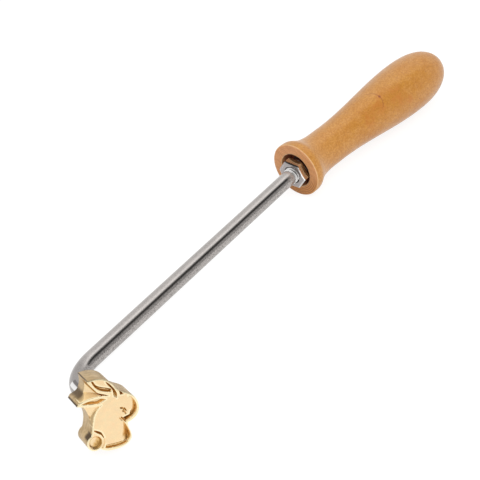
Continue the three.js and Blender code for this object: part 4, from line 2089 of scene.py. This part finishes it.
@dataclass
class Studio:
    """The table, the tent, the lamps and the camera. Places are in metres.

    The tent's light is listed by the angle from its top to the front, in degrees. Its left end is
    plain up to the first place of tent_left, and has the listed light from the second on. Each
    lamp has its name, its place, its side and its power.
    """

    camera_place: Triple = (-0.24979, -0.23574, 0.2718)
    camera_look: Triple = (0.5338, 0.5757, -0.6193)
    camera_up: Triple = (0.5109, 0.364, 0.7788)
    picture_size: float = 480
    focal_pixels: float = 974
    sensor: float = 36
    floor_size: float = 6
    floor_colour: Colour = (0.85, 0.85, 0.85)
    floor_seen: Colour = (0.25, 0.25, 0.25)
    floor_glow: float = 0.845
    sky_light: float = 0.6
    near_clip: float = 0.01
    tent_centre: Triple = (-0.04, 0.01, 0.012)
    tent_radius: float = 0.5
    tent_length: float = 1.5
    tent_steps: int = 64
    tent_front: float = 96
    tent_back: float = -96
    tent_light: tuple[Pair, ...] = (
        (-96, 1.05), (-50, 1.05), (-25, 1.2), (-8, 1.6), (6, 1.5), (18, 0.48), (27, 0.09),
        (38, 0.04), (47, 0.15), (61, 0.58), (78, 0.6), (96, 0.66))
    tent_left: Pair = (-0.42, -0.24)
    tent_left_light: float = 1.0
    lamps: tuple[tuple[str, Triple, float, float], ...] = (
        ("key", (-0.2, -0.5, 0.7), 0.9, 4.6), ("fill", (0.1, 0.4, 0.85), 0.7, 1.1))

    def build(self) -> None:
        """Sets up the camera, then the surroundings."""
        self._camera()
        self._floor()
        self._sky()
        self._tent()
        for lamp in self.lamps:
            self._lamp(*lamp)
        bpy.context.scene.view_settings.view_transform = "Standard"

    def _camera(self) -> None:
        """Puts the camera where the photograph was taken from."""
        data = bpy.data.cameras.new("camera")
        data.sensor_width = self.sensor
        data.lens = self.sensor * self.focal_pixels / self.picture_size
        data.clip_start = self.near_clip
        camera = bpy.data.objects.new("camera", data)
        bpy.context.scene.collection.objects.link(camera)
        back = -Vector(self.camera_look).normalized()
        right = Vector(self.camera_up).cross(back).normalized()
        camera.matrix_world = framed(right, back.cross(right), back, Vector(self.camera_place))
        bpy.context.scene.camera = camera

    def _floor(self) -> None:
        """Lays the pale table, which is white to the eye and keeps the shadow."""
        bm = bmesh.new()
        bmesh.ops.create_grid(bm, x_segments=1, y_segments=1, size=self.floor_size / 2)
        floor = loose_object(bm, "table")
        material, s, principled = new_material("white_table")
        seen = s.to_the_eye()
        s.feed(principled, {
            "Base Color": s.blend(seen, self.floor_colour, self.floor_seen), "Roughness": 0.9,
            "Specular IOR Level": 0.0, "Emission Color": (1, 1, 1, 1),
            "Emission Strength": s.times(seen, self.floor_glow)})
        floor.data.materials.append(material)

    def _sky(self) -> None:
        """Makes a sky that is white to the eye and in mirrors, and gives soft light."""
        world = bpy.data.worlds.new("white_studio")
        bpy.context.scene.world = world
        world.use_nodes = True
        world.node_tree.nodes.clear()
        s = Shader(world.node_tree)
        colour = s.blend(s.to_the_eye(), (self.sky_light,) * 3, (1, 1, 1))
        background = s.add("ShaderNodeBackground", {"Color": colour, "Strength": 1.0})
        s.add("ShaderNodeOutputWorld", {"Surface": background.outputs[0]})

    def _tent(self) -> None:
        """Hangs a half round tent along the rod, which only reflections see.

        Its cloth is brightest behind the top, with a dark slit in front of the top. It is plain
        at the die's end.
        """
        bm = bmesh.new()
        half = self.tent_length / 2
        verts = [bm.verts.new((x, 0, self.tent_radius)) for x in (-half, half)]
        edge = bm.edges.new(verts)
        bmesh.ops.rotate(bm, verts=verts, cent=(0, 0, 0), matrix=Matrix.Rotation(
            math.radians(self.tent_back), 3, "X"))
        spread = math.radians(self.tent_front - self.tent_back)
        spun(bm, [*verts, edge], spread, self.tent_steps)
        bmesh.ops.translate(bm, verts=bm.verts, vec=self.tent_centre)
        tent = loose_object(bm, "tent")
        material, s, principled = new_material("tent_cloth")
        place = s.add("ShaderNodeTexCoord").outputs["Object"]
        shifted = s.add("ShaderNodeMapping", {
            "Vector": place, "Location": tuple(-part for part in self.tent_centre)}).outputs[0]
        along, behind, up = s.split(shifted)
        turn = s.angle(s.times(behind, -1.0), up)
        span = self.tent_front - self.tent_back
        share = s.math("DIVIDE", s.minus(turn, self.tent_back), span)
        ramp = s.add("ShaderNodeValToRGB", {0: share})
        ramp.color_ramp.interpolation = "EASE"
        brightest = max(light for _, light in self.tent_light)
        stops = ramp.color_ramp.elements
        for index, (angle, light) in enumerate(self.tent_light):
            at = (angle - self.tent_back) / span
            stop = stops[index] if index < 2 else stops.new(at)
            stop.position = at
            stop.color = (*(light / brightest,) * 3, 1)
        plain = (self.tent_left_light / brightest,) * 3
        cloth = s.blend(s.span(along, *self.tent_left, 1.0, 0.0), ramp.outputs[0], plain)
        s.feed(principled, {
            "Base Color": (0, 0, 0, 1), "Specular IOR Level": 0.0, "Roughness": 1.0,
            "Emission Color": cloth, "Emission Strength": brightest})
        tent.data.materials.append(material)
        tent.visible_camera = False
        tent.visible_shadow = False
        tent.visible_diffuse = False

    def _lamp(self, name: str, place: Triple, size: float, watts: float) -> None:
        """Hangs a soft square lamp that points at the stamp.

        Args:
            name: The lamp's name.
            place: Where it hangs.
            size: Its side.
            watts: Its power.
        """
        data = bpy.data.lights.new(name, "AREA")
        data.size = size
        data.energy = watts
        lamp = bpy.data.objects.new(name, data)
        lamp.location = place
        lamp.rotation_euler = (-Vector(place)).to_track_quat("-Z", "Y").to_euler()
        lamp.visible_glossy = False
        bpy.context.scene.collection.objects.link(lamp)


# The whole stamp


@dataclass
class HandStamp:
    """All parts of the stamp and their finishes."""

    bench: Bench
    effects: Effects
    handle: TurnedHandle = field(default_factory=TurnedHandle)
    rod: BentRod = field(default_factory=BentRod)
    nut: ThinNut = field(default_factory=ThinNut)
    bush: Bush = field(default_factory=Bush)
    die: RabbitDie = field(default_factory=RabbitDie)

    def build(self) -> None:
        """Builds every part, dresses it, and fixes it to its body."""
        bench, effects = self.bench, self.effects
        wood = WoodFinish().material(bench.handle, effects, self.handle)
        drawn = RodFinish().wrapped(
            effects, self.nut.front - self.rod.bare_thread, self.rod.bend_start(bench),
            self.rod.straight_end(bench))
        machined = MetalFinish().material(bench.rod, effects)
        zinc = NutFinish().faced(bench.rod, effects, self.nut)
        brass = BrassFinish().carved(bench, effects, self.die.thickness)
        self._fit(self.handle.build(bench, wood), Body.HANDLE, "wooden_handle", "handle_wood")
        self._fit(self.bush.build(bench, machined), Body.HANDLE, "threaded_bush", "bush_steel")
        self._fit(self.rod.build(bench, self.nut.front, drawn), Body.ROD, "rod", "rod_steel")
        self._fit(self.nut.build(bench, zinc), Body.NUT, "lock_nut", "nut_zinc")
        self._fit(self.die.build(bench, brass), Body.HEAD, "stamp_head", "die_brass")

    @staticmethod
    def _fit(piece: bpy.types.Object, body: Body, node: str, slot: str) -> None:
        """Fixes a piece to its body in place of its solid.

        Args:
            piece: The finished piece.
            body: The body that it moves with.
            node: The solid that it stands for.
            slot: The record's material slot; not used.
        """
        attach(piece, body.value)
        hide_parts(node)
        log.info("%s: %d faces, on %s", piece.name, len(piece.data.polygons), body.value)


def main() -> None:
    """Loads the frame, builds the studio and the stamp."""
    logging.basicConfig(level=logging.INFO, format="%(name)s: %(message)s")
    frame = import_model()
    Studio().build()
    bench = Bench.from_joints(frame["joints"], Lean(), NOSE_ANGLE)
    HandStamp(bench, Effects()).build()


if __name__ == "__main__":
    main()
